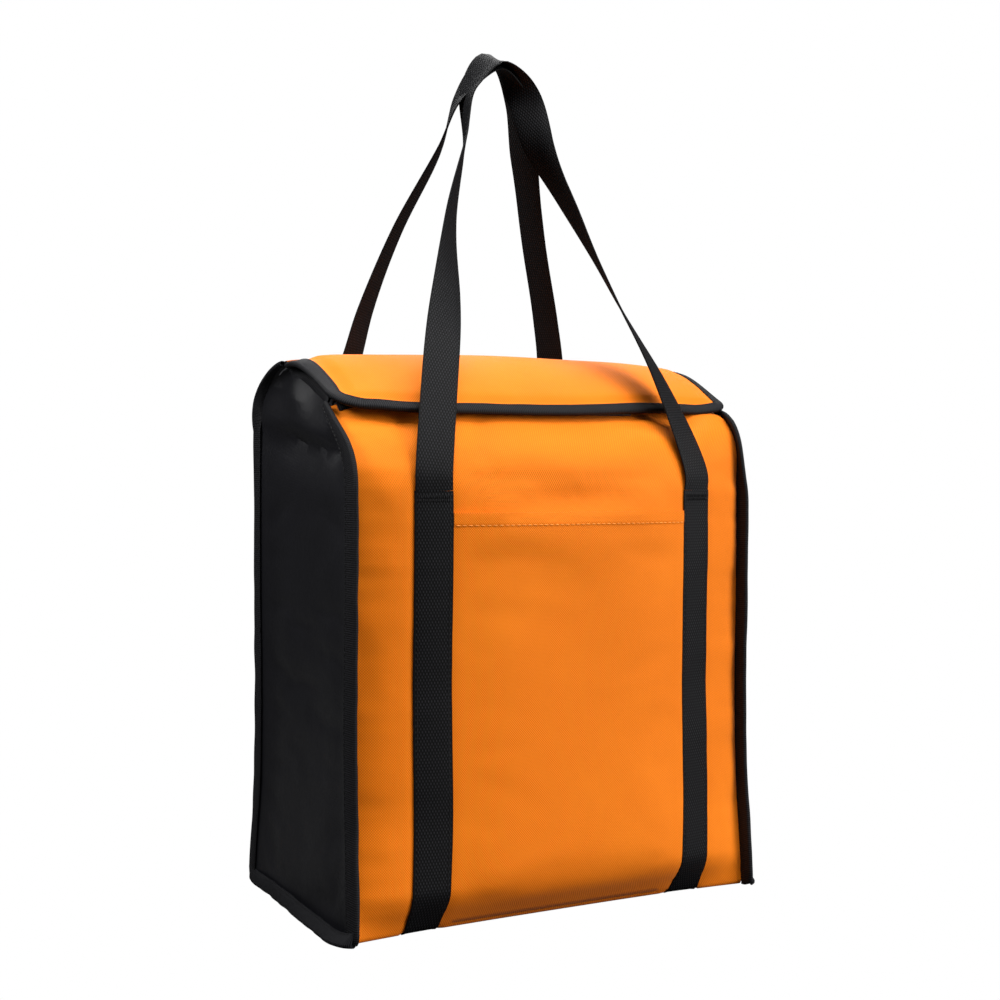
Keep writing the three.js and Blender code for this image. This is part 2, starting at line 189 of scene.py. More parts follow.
class Shade:
    """A shader socket that takes part in Python arithmetic."""

    def __init__(self, graph: "Graph", socket: bpy.types.NodeSocket) -> None:
        """Wraps a socket of a graph."""
        self.graph = graph
        self.socket = socket

    def math(self, operation: str, *values: Any) -> "Shade":
        """Adds a Math node on the given values."""
        return self.graph.add("ShaderNodeMath", {"operation": operation}, dict(enumerate(values)))

    def __add__(self, other: Any) -> "Shade":
        """Sum."""
        return self.math("ADD", self, other)

    def __radd__(self, other: Any) -> "Shade":
        """Sum with a plain number on the left."""
        return self.math("ADD", other, self)

    def __sub__(self, other: Any) -> "Shade":
        """Difference."""
        return self.math("SUBTRACT", self, other)

    def __rsub__(self, other: Any) -> "Shade":
        """Difference from a plain number."""
        return self.math("SUBTRACT", other, self)

    def __mul__(self, other: Any) -> "Shade":
        """Product."""
        return self.math("MULTIPLY", self, other)

    def __rmul__(self, other: Any) -> "Shade":
        """Product with a plain number on the left."""
        return self.math("MULTIPLY", other, self)

    def cosine(self) -> "Shade":
        """Cosine of the value."""
        return self.math("COSINE", self)

    def size(self) -> "Shade":
        """The value without its sign."""
        return self.math("ABSOLUTE", self)

    def between(self, low: float, high: float) -> "Shade":
        """A smooth step from 0 at low to 1 at high."""
        settings = {"interpolation_type": "SMOOTHSTEP"}
        return self.graph.add("ShaderNodeMapRange", settings, {0: self, 1: low, 2: high, 3: 0.0, 4: 1.0})


class Graph:
    """A node tree that is written as expressions."""

    def __init__(self, tree: bpy.types.NodeTree) -> None:
        """Starts with an empty tree."""
        self.tree = tree
        tree.nodes.clear()

    def add(self, kind: str, settings: dict[str, Any] | None = None,
            inputs: dict[Any, Any] | None = None, output: int | str = 0) -> Shade:
        """Adds a node.

        Args:
            kind: the node's type.
            settings: its properties, which are set first.
            inputs: values or links for its sockets, by name or number.
            output: which of its outputs is wanted.

        Returns:
            That output.
        """
        node = self.tree.nodes.new(kind)
        for name, value in (settings or {}).items():
            setattr(node, name, value)
        for key, value in (inputs or {}).items():
            if isinstance(value, Shade):
                self.tree.links.new(value.socket, node.inputs[key])
            else:
                node.inputs[key].default_value = value
        return Shade(self, node.outputs[output])

    def cloth(self) -> tuple[Shade, Shade]:
        """Places across and along the cloth, in metres."""
        flat = self.add("ShaderNodeUVMap", {"uv_map": CLOTH_MAP})
        across = self.add("ShaderNodeSeparateXYZ", inputs={0: flat}, output="X")
        along = self.add("ShaderNodeSeparateXYZ", inputs={0: flat}, output="Y")
        return across, along

    def noise(self, scale: float, detail: float = 3.0) -> Shade:
        """Noise from 0 to 1 on the object's own coordinates, with scale in ripples to the metre."""
        place = self.add("ShaderNodeTexCoord", output="Object")
        return self.add("ShaderNodeTexNoise", inputs={"Vector": place, "Scale": scale, "Detail": detail})

    def blend(self, share: Any, start: Any, end: Any) -> Shade:
        """A colour between two others."""
        settings = {"data_type": "RGBA", "blend_type": "MIX"}
        return self.add("ShaderNodeMix", settings, {0: share, 6: start, 7: end}, output=2)

    def bump(self, height: Shade, strength: float, distance: float) -> Shade:
        """A normal that follows a height."""
        inputs = {"Strength": strength, "Distance": distance, "Height": height}
        return self.add("ShaderNodeBump", inputs=inputs)

    def skin(self, inputs: dict[str, Any]) -> Shade:
        """A Principled surface."""
        return self.add("ShaderNodeBsdfPrincipled", inputs=inputs, output="BSDF")

    def close(self, kind: str, surface: Shade) -> None:
        """Adds the tree's output node and links the surface to it."""
        node = self.tree.nodes.new(kind)
        self.tree.links.new(surface.socket, node.inputs["Surface"])


def paint(red: float, green: float, blue: float) -> Colour:
    """A linear colour with full cover."""
    return (red, green, blue, 1.0)


def new_material(name: str) -> tuple[bpy.types.Material, Graph]:
    """A material and the graph of its nodes."""
    material = bpy.data.materials.new(name)
    material.use_nodes = True
    return material, Graph(material.node_tree)


@dataclass(frozen=True)
class Finish:
    """A named surface."""

    name: str

    def make(self) -> bpy.types.Material:
        """Builds the material."""
        material, graph = new_material(self.name)
        graph.close("ShaderNodeOutputMaterial", graph.skin(self.look(graph)))
        return material

    def look(self, graph: Graph) -> dict[str, Any]:
        """The values and links of the surface's sockets."""
        raise NotImplementedError


@dataclass(frozen=True)
class OxfordWeave(Finish):
    """Coated plain weave, with the crossings of its threads in relief."""

    # hollow: painted shade in the weave's hollows; crown: the colour on the thread crossings
    hollow: Colour
    crown: Colour
    faded: Colour
    sheen: float
    roughness: float = 0.72
    specular: float = 0.16
    pitch_across: float = 0.00156
    pitch_along: float = 0.0018
    relief: float = 0.00022
    slub_scale: float = 420.0
    cloud_scale: float = 9.0

    def look(self, graph: Graph) -> dict[str, Any]:
        """Threads that cross, with slubs in them, painted shade in the hollows between the crossings and
        faded clouds over them.
        """
        across, along = graph.cloth()
        warp = (across * (TURN / self.pitch_across)).cosine()
        weft = (along * (TURN / self.pitch_along)).cosine()
        height = 0.5 + 0.5 * (warp * weft)
        slub = graph.noise(self.slub_scale, 2)
        cloud = graph.noise(self.cloud_scale, 4)
        # painted shade: the weave's hollows are darkened towards the hollow colour
        woven = graph.blend(height.between(0.05, 0.95), self.hollow, self.crown)
        colour = graph.blend(cloud.between(0.45, 0.75) * 0.35, woven, self.faded)
        normal = graph.bump(height + 0.6 * slub, 0.55, self.relief)
        return {
            "Base Color": colour,
            "Roughness": self.roughness - 0.1 * height + 0.12 * (slub - 0.5),
            "Normal": normal,
            "Sheen Weight": self.sheen,
            "Sheen Roughness": 0.45,
            "Specular IOR Level": self.specular,
        }


@dataclass(frozen=True)
class RibbedTape(Finish):
    """Woven binding tape with ribs across its width."""

    # hollow: painted shade between the ribs; crown: painted highlight on the ribs
    hollow: Colour
    crown: Colour
    pitch: float = 0.00148
    thread: float = 0.0009
    relief: float = 0.00025
    fuzz_scale: float = 700.0
    roughness: float = 0.62
    specular: float = 0.14

    def look(self, graph: Graph) -> dict[str, Any]:
        """Ribs of fine threads under a little fuzz."""
        across, along = graph.cloth()
        rib = 0.5 + 0.5 * (along * (TURN / self.pitch)).cosine()
        pick = 0.5 + 0.5 * (across * (TURN / self.thread)).cosine()
        fuzz = graph.noise(self.fuzz_scale, 2)
        height = rib * (0.65 + 0.35 * pick)
        # painted shade and highlight: the ribs' hollows are darkened and their crowns lightened
        shade = (height * (0.7 + 0.6 * fuzz)).between(0.15, 0.95)
        return {
            "Base Color": graph.blend(shade, self.hollow, self.crown),
            "Roughness": self.roughness + 0.2 * (fuzz - 0.5),
            "Normal": graph.bump(height + 0.3 * fuzz, 0.6, self.relief),
            "Specular IOR Level": self.specular,
        }


@dataclass(frozen=True)
class DottedWebbing(Finish):
    """Polypropylene webbing, whose floats show as staggered dots between plain selvedges, painted lighter as
    highlights.
    """

    ground: Colour
    # the colour of the floats' painted highlight
    float_highlight: Colour
    width: float
    column: float = 0.0021
    row: float = 0.00205
    selvedge: float = 0.0011
    relief: float = 0.0003
    fibre_scale: float = 900.0
    roughness: float = 0.6
    specular: float = 0.14

    def look(self, graph: Graph) -> dict[str, Any]:
        """Rows of dots, each half a column on from the last, that stop at the selvedges."""
        across, along = graph.cloth()
        stagger = (across * (TURN / self.column)).cosine() * (along * (math.pi / self.row)).cosine()
        half = self.width / 2
        inside = 1 - across.size().between(half - self.selvedge, half - self.selvedge / 2)
        fibre = graph.noise(self.fibre_scale, 2)
        dot = stagger.between(0.05, 0.85) * inside
        return {
            # painted highlight: the floats are lightened into dots over the dark ground
            "Base Color": graph.blend(dot * (0.55 + 0.9 * fibre), self.ground, self.float_highlight),
            "Roughness": self.roughness - 0.14 * dot,
            "Normal": graph.bump(0.5 * stagger * inside + 0.25 * fibre, 0.7, self.relief),
            "Specular IOR Level": self.specular,
        }


@dataclass(frozen=True)
class FoilFilm(Finish):
    """Metallised film over foam, with fine creases."""

    bright: Colour
    dull: Colour
    metallic: float = 0.55
    roughness: float = 0.36
    relief: float = 0.0009
    crease_scale: float = 75.0
    wave_scale: float = 38.0

    def look(self, graph: Graph) -> dict[str, Any]:
        """Soft waves, parted by creases."""
        place = graph.add("ShaderNodeTexCoord", output="Object")
        settings = {"feature": "DISTANCE_TO_EDGE"}
        crease = graph.add("ShaderNodeTexVoronoi", settings, {"Vector": place, "Scale": self.crease_scale})
        wave = graph.noise(self.wave_scale, 4)
        ridge = crease.between(0.0, 0.09)
        return {
            "Base Color": graph.blend(wave.between(0.35, 0.7), self.dull, self.bright),
            "Metallic": self.metallic,
            "Roughness": self.roughness + 0.2 * wave,
            "Normal": graph.bump(0.35 * ridge + wave, 0.35, self.relief),
        }


@dataclass(frozen=True)
class SewingThread(Finish):
    """Twisted sewing thread."""

    dark: Colour
    light: Colour
    relief: float = 0.0002
    twist_scale: float = 1500.0

    def look(self, graph: Graph) -> dict[str, Any]:
        """The strands of the twist."""
        twist = graph.noise(self.twist_scale, 2)
        return {
            "Base Color": graph.blend(twist.between(0.3, 0.7), self.dark, self.light),
            "Roughness": 0.5 + 0.2 * twist,
            "Normal": graph.bump(twist, 0.4, self.relief),
            "Specular IOR Level": 0.2,
        }


@dataclass(frozen=True)
class HookPile(Finish):
    """The nap of a hook or loop strip."""

    # root: painted shade down in the pile; tip: painted highlight on the tufts
    root: Colour
    tip: Colour
    pitch: float
    relief: float = 0.0006
    fluff_scale: float = 1100.0

    def look(self, graph: Graph) -> dict[str, Any]:
        """A grid of tufts, each of its own height."""
        across, along = graph.cloth()
        grid = (across * (TURN / self.pitch)).cosine() * (along * (TURN / self.pitch)).cosine()
        fluff = graph.noise(self.fluff_scale, 3)
        height = (0.5 + 0.5 * grid) * (0.4 + fluff)
        return {
            # painted shade and highlight: the pile is darker at its roots and lighter on the tufts' tips
            "Base Color": graph.blend(height.between(0.2, 0.8), self.root, self.tip),
            "Roughness": 0.8 - 0.15 * height,
            "Normal": graph.bump(height, 0.9, self.relief),
            "Sheen Weight": 0.3,
        }


@dataclass
class Wardrobe:
    """Every finish of the bag, made once."""

    band_width: float

    def __post_init__(self) -> None:
        """Builds the materials."""
        # deep black: painted shade in the tape's hollows, and the webbing's own black ground
        ground = paint(0.001, 0.001, 0.0013)
        # the oxford hollow colours are painted shade between the thread crossings
        self.orange = OxfordWeave(
            "orange_oxford", hollow=paint(0.66, 0.135, 0.001), crown=paint(1.0, 0.24, 0.003),
            faded=paint(1.0, 0.26, 0.007), sheen=0.05).make()
        self.black = OxfordWeave(
            "black_oxford", hollow=paint(0.003, 0.003, 0.004), crown=paint(0.009, 0.009, 0.012),
            faded=paint(0.012, 0.012, 0.0155), sheen=0.0, roughness=0.46, specular=0.3).make()
        # the tape's crown colour is a painted highlight on its ribs
        self.tape = RibbedTape("binding_tape", hollow=ground, crown=paint(0.021, 0.021, 0.025)).make()
        # the webbing's lighter dots are painted highlights on its floats
        self.webbing = DottedWebbing(
            "black_webbing", ground, float_highlight=paint(0.018, 0.018, 0.021), width=self.band_width).make()
        self.foil = FoilFilm(
            "silver_foil", bright=paint(0.56, 0.57, 0.59), dull=paint(0.4, 0.41, 0.43)).make()
        self.orange_thread = SewingThread(
            "orange_thread", dark=paint(0.9, 0.27, 0.03), light=paint(1.0, 0.42, 0.09)).make()
        self.black_thread = SewingThread(
            "black_thread", dark=paint(0.003, 0.003, 0.003), light=paint(0.012, 0.012, 0.013)).make()
        # the hook and loop root colours are painted shade, the tip colours painted highlight
        self.hooks = HookPile(
            "hook_nap", root=paint(0.004, 0.004, 0.004), tip=paint(0.03, 0.03, 0.03), pitch=0.0016).make()
        self.loops = HookPile(
            "loop_nap", root=paint(0.006, 0.006, 0.006), tip=paint(0.045, 0.045, 0.045), pitch=0.0011).make()


class Shell:
    """A mesh under construction, with the cloth's own map in metres."""

    WELD = 1e-6
    SELVEDGE = 0.55

    def __init__(self) -> None:
        """Starts with no faces."""
        self.mesh = bmesh.new()
        self.map = self.mesh.loops.layers.uv.new(CLOTH_MAP)

    def sheet(self, columns: Sequence[float], rows: Sequence[float],
              place: Place) -> list[bmesh.types.BMVert]:
        """Adds a grid that is bent into place.

        Args:
            columns: places across the cloth.
            rows: places along the cloth.
            place: where a place on the cloth lies in space.

        Returns:
            The grid's vertices, row by row.
        """
        made = bmesh.ops.create_grid(
            self.mesh, x_segments=len(columns) - 1, y_segments=len(rows) - 1, size=1.0)["verts"]
        spots = {}
        for index, vert in enumerate(made):
            row, column = divmod(index, len(columns))
            spots[vert] = (columns[column], rows[row])
            vert.co = place(columns[column], rows[row])
        for vert in made:
            for loop in vert.link_loops:
                loop[self.map].uv = spots[vert]
        return made

    def wall(self, columns: Sequence[float], rows: Sequence[float], outer: Place, inner: Place) -> None:
        """Adds a closed wall between an outer and an inner face, with its rim bridged."""
        self.sheet(columns, rows, outer)
        behind = self.sheet(columns, rows, inner)
        turned = {face for vert in behind for face in vert.link_faces}
        bmesh.ops.reverse_faces(self.mesh, faces=list(turned))
        rim = [edge for edge in self.mesh.edges if edge.is_boundary]
        bmesh.ops.bridge_loops(self.mesh, edges=rim)

    def sweep(self, ring: Sequence[Corner], stations: Sequence[float], place: SectionPlace) -> None:
        """Adds a solid that carries a closed ring along its stations.

        Args:
            ring: the profile's corners, in order round it.
            stations: places along the path.
            place: where a corner of the profile lies at a station.
        """
        corners = [*ring, ring[0]]
        across = running(math.dist(start, end) for start, end in pairwise(corners))
        corner_at = dict(zip(across, corners))
        made = self.sheet(across, stations, lambda spot, station: place(corner_at[spot], station))
        bmesh.ops.remove_doubles(self.mesh, verts=made, dist=self.WELD)
        ends = [edge for edge in self.mesh.edges if edge.is_boundary]
        bmesh.ops.holes_fill(self.mesh, edges=ends)

    def band(self, width: float, thickness: float, stations: Sequence[float],
             place: SectionPlace, cells: int = 8) -> None:
        """Adds a flat woven band, mapped from its middle line, with rounded selvedges.

        Args:
            width: the band's width.
            thickness: its thickness.
            stations: places along the path.
            place: where a corner of the profile, from the band's middle, lies at a station.
            cells: columns across each face.
        """
        half = width / 2
        low = -thickness / 2
        lines = [mix(-half, half, i / cells) for i in range(cells + 1)]
        plump = [self.SELVEDGE, *[1.0] * (cells - 1), self.SELVEDGE]
        top = {line: (line, -low * share) for line, share in zip(lines, plump)}
        bottom = {line: (line, low * share) for line, share in zip(lines, plump)}
        self.wall(lines, stations, lambda a, s: place(top[a], s), lambda a, s: place(bottom[a], s))

    def stitch(self, at: Vector, along: Vector, up: Vector, length: float, thread: float) -> None:
        """Adds one stitch, a short plump length of thread.

        Args:
            at: the stitch's middle.
            along: the direction of the seam.
            up: the direction out of the cloth.
            length: the stitch's length.
            thread: the thread's thickness.
        """
        z_axis = along.normalized()
        x_axis = up.cross(z_axis).normalized()
        y_axis = z_axis.cross(x_axis)
        turn = Matrix((x_axis, y_axis, z_axis)).transposed().to_4x4()
        scale = Matrix.Diagonal((thread / 2, thread / 2, length / 2, 1.0))
        bmesh.ops.create_uvsphere(
            self.mesh, u_segments=6, v_segments=5, radius=1.0, matrix=Matrix.Translation(at) @ turn @ scale)

    def finish(self, name: str, crease: float = 50.0) -> bpy.types.Object:
        """Turns the mesh into an object.

        Args:
            name: the piece's name.
            crease: the angle in degrees past which an edge stays sharp.

        Returns:
            The new object, at the origin.
        """
        bmesh.ops.recalc_face_normals(self.mesh, faces=self.mesh.faces)
        mesh = bpy.data.meshes.new(name)
        self.mesh.to_mesh(mesh)
        self.mesh.free()
        mesh.polygons.foreach_set("use_smooth", [True] * len(mesh.polygons))
        mesh.set_sharp_from_angle(angle=math.radians(crease))
        piece = bpy.data.objects.new(name, mesh)
        bpy.context.collection.objects.link(piece)
        return piece


def dress(piece: bpy.types.Object, material: bpy.types.Material, slot: str,
          *nodes: str) -> bpy.types.Object:
    """Gives a piece its finish and hides the CAD nodes that it replaces.

    Args:
        piece: the object.
        material: its material.
        slot: not used.
        nodes: the CAD nodes that it replaces.

    Returns:
        The same object.
    """
    piece.data.materials.append(material)
    if nodes:
        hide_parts(*nodes)
    LOG.info("%s: %d faces", piece.name, len(piece.data.polygons))
    return piece


@dataclass
class SewnCloth:
    """A sheet that is held along its seams, puffed out as cloth and read back as heights."""

    columns: list[float]
    rows: list[float]
    place: Place
    held: Callable[[float, float], float]
    growth: float = 0.014
    pressure: float = 4.0
    frames: int = 20
    keep: float = 0.75
    limit: float = 0.003
    window: int = 7

    def __post_init__(self) -> None:
        """Runs the simulation."""
        self.heights = [[0.0] * len(self.columns) for _ in self.rows]
        self.settle()

    def settle(self) -> None:
        """Lets the sheet swell and wrinkle for some frames, and keeps how far each place moved."""
        shell = Shell()
        shell.sheet(self.columns, self.rows, self.place)
        trial = shell.finish("cloth_trial")
        group = trial.vertex_groups.new(name="sewn")
        spots = [(a, b) for b in self.rows for a in self.columns]
        for index, (a, b) in enumerate(spots):
            group.add([index], self.held(a, b), "REPLACE")
        start = [(vert.co.copy(), vert.normal.copy()) for vert in trial.data.vertices]
        cloth = trial.modifiers.new("cloth", "CLOTH")
        settings = cloth.settings
        settings.quality = 6
        settings.mass = 0.25
        settings.tension_stiffness = settings.compression_stiffness = 14.0
        settings.shear_stiffness = 5.0
        settings.bending_stiffness = 0.35
        settings.vertex_group_mass = group.name
        settings.use_pressure = True
        settings.uniform_pressure_force = self.pressure
        settings.shrink_min = -self.growth
        settings.effector_weights.gravity = 0.0
        for frame_number in range(1, self.frames + 1):
            bpy.context.scene.frame_set(frame_number)
        graph = bpy.context.evaluated_depsgraph_get()
        moved = trial.evaluated_get(graph).data.vertices
        flat = [(after.co - co).dot(normal) for after, (co, normal) in zip(moved, start)]
        wide = len(self.columns)
        self.heights = self.trimmed([flat[i:i + wide] for i in range(0, len(flat), wide)])
        mesh = trial.data
        bpy.data.objects.remove(trial)
        bpy.data.meshes.remove(mesh)
        bpy.context.scene.frame_set(1)
        LOG.info("cloth settled: %d places, up to %.1f mm", len(flat), 1000 * max(map(abs, flat)))

    def trimmed(self, moved: list[list[float]]) -> list[list[float]]:
        """The wrinkles without the broad bulge, which the pattern already has, and capped."""
        def broad(line: list[float]) -> list[float]:
            """A running mean along a line."""
            ends = [(max(i - self.window, 0), i + self.window + 1) for i in range(len(line))]
            return [sum(line[a:b]) / len(line[a:b]) for a, b in ends]

        across = [broad(line) for line in moved]
        smooth = list(zip(*[broad(list(column)) for column in zip(*across)]))
        return [[clamp(self.keep * (value - bulge), -self.limit, self.limit) * self.freedom(i, j)
                 for i, (value, bulge) in enumerate(zip(line, low))]
                for j, (line, low) in enumerate(zip(moved, smooth))]

    def freedom(self, i: int, j: int, reach: int = 3) -> float:
        """0 where the cloth is held, rising to 1 some cells away from there."""
        near = reach + 1
        for row in range(max(j - reach, 0), min(j + reach + 1, len(self.rows))):
            for column in range(max(i - reach, 0), min(i + reach + 1, len(self.columns))):
                if self.held(self.columns[column], self.rows[row]):
                    near = min(near, max(abs(row - j), abs(column - i)))
        return ease(near, 0.0, reach + 1.0)

    @staticmethod
    def share(line: Sequence[float], value: float) -> tuple[int, float]:
        """The cell of a line that a value lies in, and how far into it."""
        cell = min(max(bisect.bisect_right(line, value) - 1, 0), len(line) - 2)
        return cell, clamp((value - line[cell]) / (line[cell + 1] - line[cell]))

    def height(self, a: float, b: float) -> float:
        """How far the cloth moved at a place."""
        i, across = self.share(self.columns, a)
        j, along = self.share(self.rows, b)
        low, high = self.heights[j], self.heights[j + 1]
        return mix(mix(low[i], low[i + 1], across), mix(high[i], high[i + 1], across), along)


class SeamPoint(NamedTuple):
    """A place on the side seam in the YZ plane, and the direction out of the bag."""

    at: Vector
    out: Vector


@dataclass(frozen=True)
class Straight:
    """A straight stretch of the side seam."""

    start: Vector
    end: Vector

    @property
    def length(self) -> float:
        """Distance from start to end."""
        return (self.end - self.start).length

    def point(self, distance: float) -> SeamPoint:
        """The seam at a distance from the stretch's start."""
        along = (self.end - self.start).normalized()
        return SeamPoint(self.start + along * distance, Vector((along.y, -along.x)))


@dataclass(frozen=True)
class Bend:
    """A round stretch of the side seam."""

    centre: Vector
    radius: float
    start: float
    end: float

    @property
    def length(self) -> float:
        """Length of the arc."""
        return self.radius * (self.end - self.start)

    def point(self, distance: float) -> SeamPoint:
        """The seam at a distance from the arc's start."""
        angle = self.start + distance / self.radius
        out = Vector((math.cos(angle), math.sin(angle)))
        return SeamPoint(self.centre + out * self.radius, out)


@dataclass
class BagForm:
    """Shape of the stuffed bag.

    Distances along the seam run from the mouth's front edge, under the base, to the fold.
    """

    shoulder_drop: float = 0.0745
    shoulder_slope: float = math.radians(42)
    shoulder_radius: float = 0.045
    front_top_length: float = 0.056
    pocket_drop: float = 0.015
    back_top_radius: float = 0.050
    base_corner: float = 0.003
    base_sag: float = 0.0014
    wall_clear: float = 0.0051
    pillow_run: float = 0.030
    pillow_sink: float = 0.010
    pillow_power: float = 3.0
    pillow_waist: float = 0.1
    pillow_mouth: float = 0.35
    foot_flare: float = 0.011
    foot_step: float = 0.004
    foot_run: float = 0.09
    right_fullness: float = 0.0155
    mouth_fullness: float = 0.55
    mouth_run: float = 0.025
    fullness_lead: float = 0.006
    fullness_stop: float = 0.003
    full_from: float = 0.02
    full_from_at_mouth: float = 0.10
    full_run: tuple[float, float] = (0.02, 0.05)
    waist_draw: float = 0.0022
    waist_height: float = 0.145
    waist_reach: float = 0.06
    face_run: float = 0.03
    strip_puff: float = 0.0018
    band_groove: float = 0.0009
    groove_lip: float = 0.002
    groove_edge: float = 0.004
    gather: float = 0.0034
    gather_reach: float = 0.019
    gather_hold: float = 0.003
    gather_length: float = 0.026
    fine_gather_length: float = 0.009
    right_gathers: float = 3.7
    left_gathers: float = 8.1
    tuck: float = 0.0005
    tuck_length: float = 0.03
    tuck_reach: float = 0.012
    tuck_slant: float = 0.3
    sag: float = 0.0006
    sag_length: float = 0.075
    sag_reach: float = 0.05
    base_crease: float = 0.0006
    crease_height: float = 0.011
    crease_reach: float = 0.0022
    slack_cell: float = 0.006
    slack_keep: float = 0.3
    band_margin: float = 0.003
    rest_height: float = 0.004

    def __post_init__(self) -> None:
        """Reads the main sizes from the frame and lays out the side seam."""
        wrap_low, wrap_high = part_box("outer_wrap")
        _, gusset_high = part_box("left_gusset")
        band_low, band_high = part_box("right_webbing")
        self.half_width = wrap_high.x
        self.half_depth = gusset_high.y + self.wall_clear
        self.top = wrap_high.z
        self.base = wrap_low.z
        self.pillow_depth = wrap_high.y - self.half_depth
        self.band_inner = band_low.x
        self.band_outer = band_high.x
        self.band_middle = (band_low.x + band_high.x) / 2
        self.band_width = band_high.x - band_low.x

        shoulder = self.top - self.shoulder_drop
        turn = math.pi / 2 - self.shoulder_slope
        tangent = self.shoulder_radius * math.tan(turn / 2)
        self.face_top = shoulder - tangent
        self.fold_y = self.half_depth - self.back_top_radius
        face_bottom = self.base + self.base_corner
        slope = Vector((math.cos(self.shoulder_slope), math.sin(self.shoulder_slope)))
        corner = Vector((-self.half_depth, shoulder))
        inner = self.half_depth - self.base_corner
        crown_start = self.top - self.back_top_radius
        right = math.pi / 2
        self.slope_along = slope
        self.stretches = [
            Straight(corner + slope * self.front_top_length, corner + slope * tangent),
            Bend(Vector((self.shoulder_radius - self.half_depth, self.face_top)), self.shoulder_radius,
                 math.pi - turn, math.pi),
            Straight(Vector((-self.half_depth, self.face_top)), Vector((-self.half_depth, face_bottom))),
            Bend(Vector((-inner, face_bottom)), self.base_corner, 2 * right, 3 * right),
            Straight(Vector((-inner, self.base)), Vector((inner, self.base))),
            Bend(Vector((inner, face_bottom)), self.base_corner, 3 * right, 4 * right),
            Straight(Vector((self.half_depth, face_bottom)), Vector((self.half_depth, crown_start))),
            Bend(Vector((self.fold_y, crown_start)), self.back_top_radius, 0.0, right),
        ]
        self.marks = running(stretch.length for stretch in self.stretches)
        self.slope_end, self.front_top, self.front_bottom, self.base_front = self.marks[1:5]
        self.base_back, self.back_bottom, self.crown_start, self.seam_length = self.marks[5:9]
        self.back_top = self.back_bottom + self.face_top - face_bottom
        self.slack: SewnCloth | None = None

    def settle(self) -> None:
        """Finds the slack of the wrap's cloth between the lines where it is sewn."""
        cell = self.slack_cell
        edge = self.half_width
        columns = steps(-edge, edge, cell)
        rows = joined(*[steps(start, end, cell) for start, end in pairwise(self.marks)])

        def held(x: float, distance: float) -> float:
            """1 where the wrap is sewn down or rests on the floor."""
            beside = abs(abs(x) - self.band_middle) - self.band_width / 2
            on_band = beside < self.band_margin and distance > self.front_top
            at_rim = edge - abs(x) < cell / 2 or not cell / 2 < distance < self.seam_length - cell / 2
            return float(on_band or at_rim or self.seam(distance).at.y < self.base + self.rest_height)

        def place(x: float, distance: float) -> Vector:
            """The wrap's outer face."""
            return self.wrap(x, distance, 0.0)

        self.slack = SewnCloth(columns, rows, place, held, keep=self.slack_keep)

    def flare(self, height: float) -> float:
        """How far the side seams stand out at the foot of a wall, or draw in at its waist."""
        foot = self.foot_flare * (1 - ease(height, 0.0, self.foot_run))
        return foot - self.waist_draw * hill(height, self.waist_height, self.waist_reach)

    def foot_shift(self, y: float, z: float) -> float:
        """How far the front of the bag's foot stands to the left."""
        forward = clamp(0.5 - 0.5 * y / self.half_depth)
        return -self.foot_step * forward * (1 - ease(z, 0.0, self.foot_run))

    def fullness(self, distance: float) -> float:
        """How far the right shoulder is filled out past the left one."""
        from_mouth = mix(self.mouth_fullness, 1.0, ease(distance, 0.0, self.mouth_run))
        start, end = self.slope_end - self.fullness_lead, self.front_top - self.fullness_stop
        return self.right_fullness * from_mouth * (1 - ease(distance, start, end))

    def seam(self, distance: float, flared: float = 1.0, full: float = 0.0) -> SeamPoint:
        """The side seam, which also runs on past both ends.

        Args:
            distance: place along the seam from the mouth's front edge.
            flared: share of the flare at its foot.
            full: share of the right shoulder's fullness.

        Returns:
            The place and the direction out of the bag.
        """
        last = len(self.stretches) - 1
        index = next((i for i, end in enumerate(self.marks[1:]) if distance <= end), last)
        at, out = self.stretches[index].point(distance - self.marks[index])
        spread = Vector((at.x / self.half_depth * flared * self.flare(at.y), 0.0))
        return SeamPoint(at + spread + out * (full * self.fullness(distance)), out)

    def swell(self, x: float) -> float:
        """Share of the swelling across the bag: none at the seams, all of it in the middle."""
        return 1 - abs(x / self.half_width) ** self.pillow_power

    def pillow(self, x: float, distance: float) -> float:
        """How far the stuffed wrap stands out of its seams."""
        height = self.seam(distance).at.y
        from_base = ease(height, self.base - self.pillow_sink, self.base + self.pillow_run)
        halfway = clamp((height - self.pillow_run) / (self.face_top - self.pillow_run))
        waist = 1 - self.pillow_waist * math.sin(math.pi * halfway) ** 2
        to_mouth = 1 - self.pillow_mouth * (1 - ease(distance, self.slope_end, self.front_top))
        to_fold = 1 - ease(distance, self.back_top, self.seam_length)
        return self.pillow_depth * self.swell(x) * from_base * waist * to_mouth * to_fold

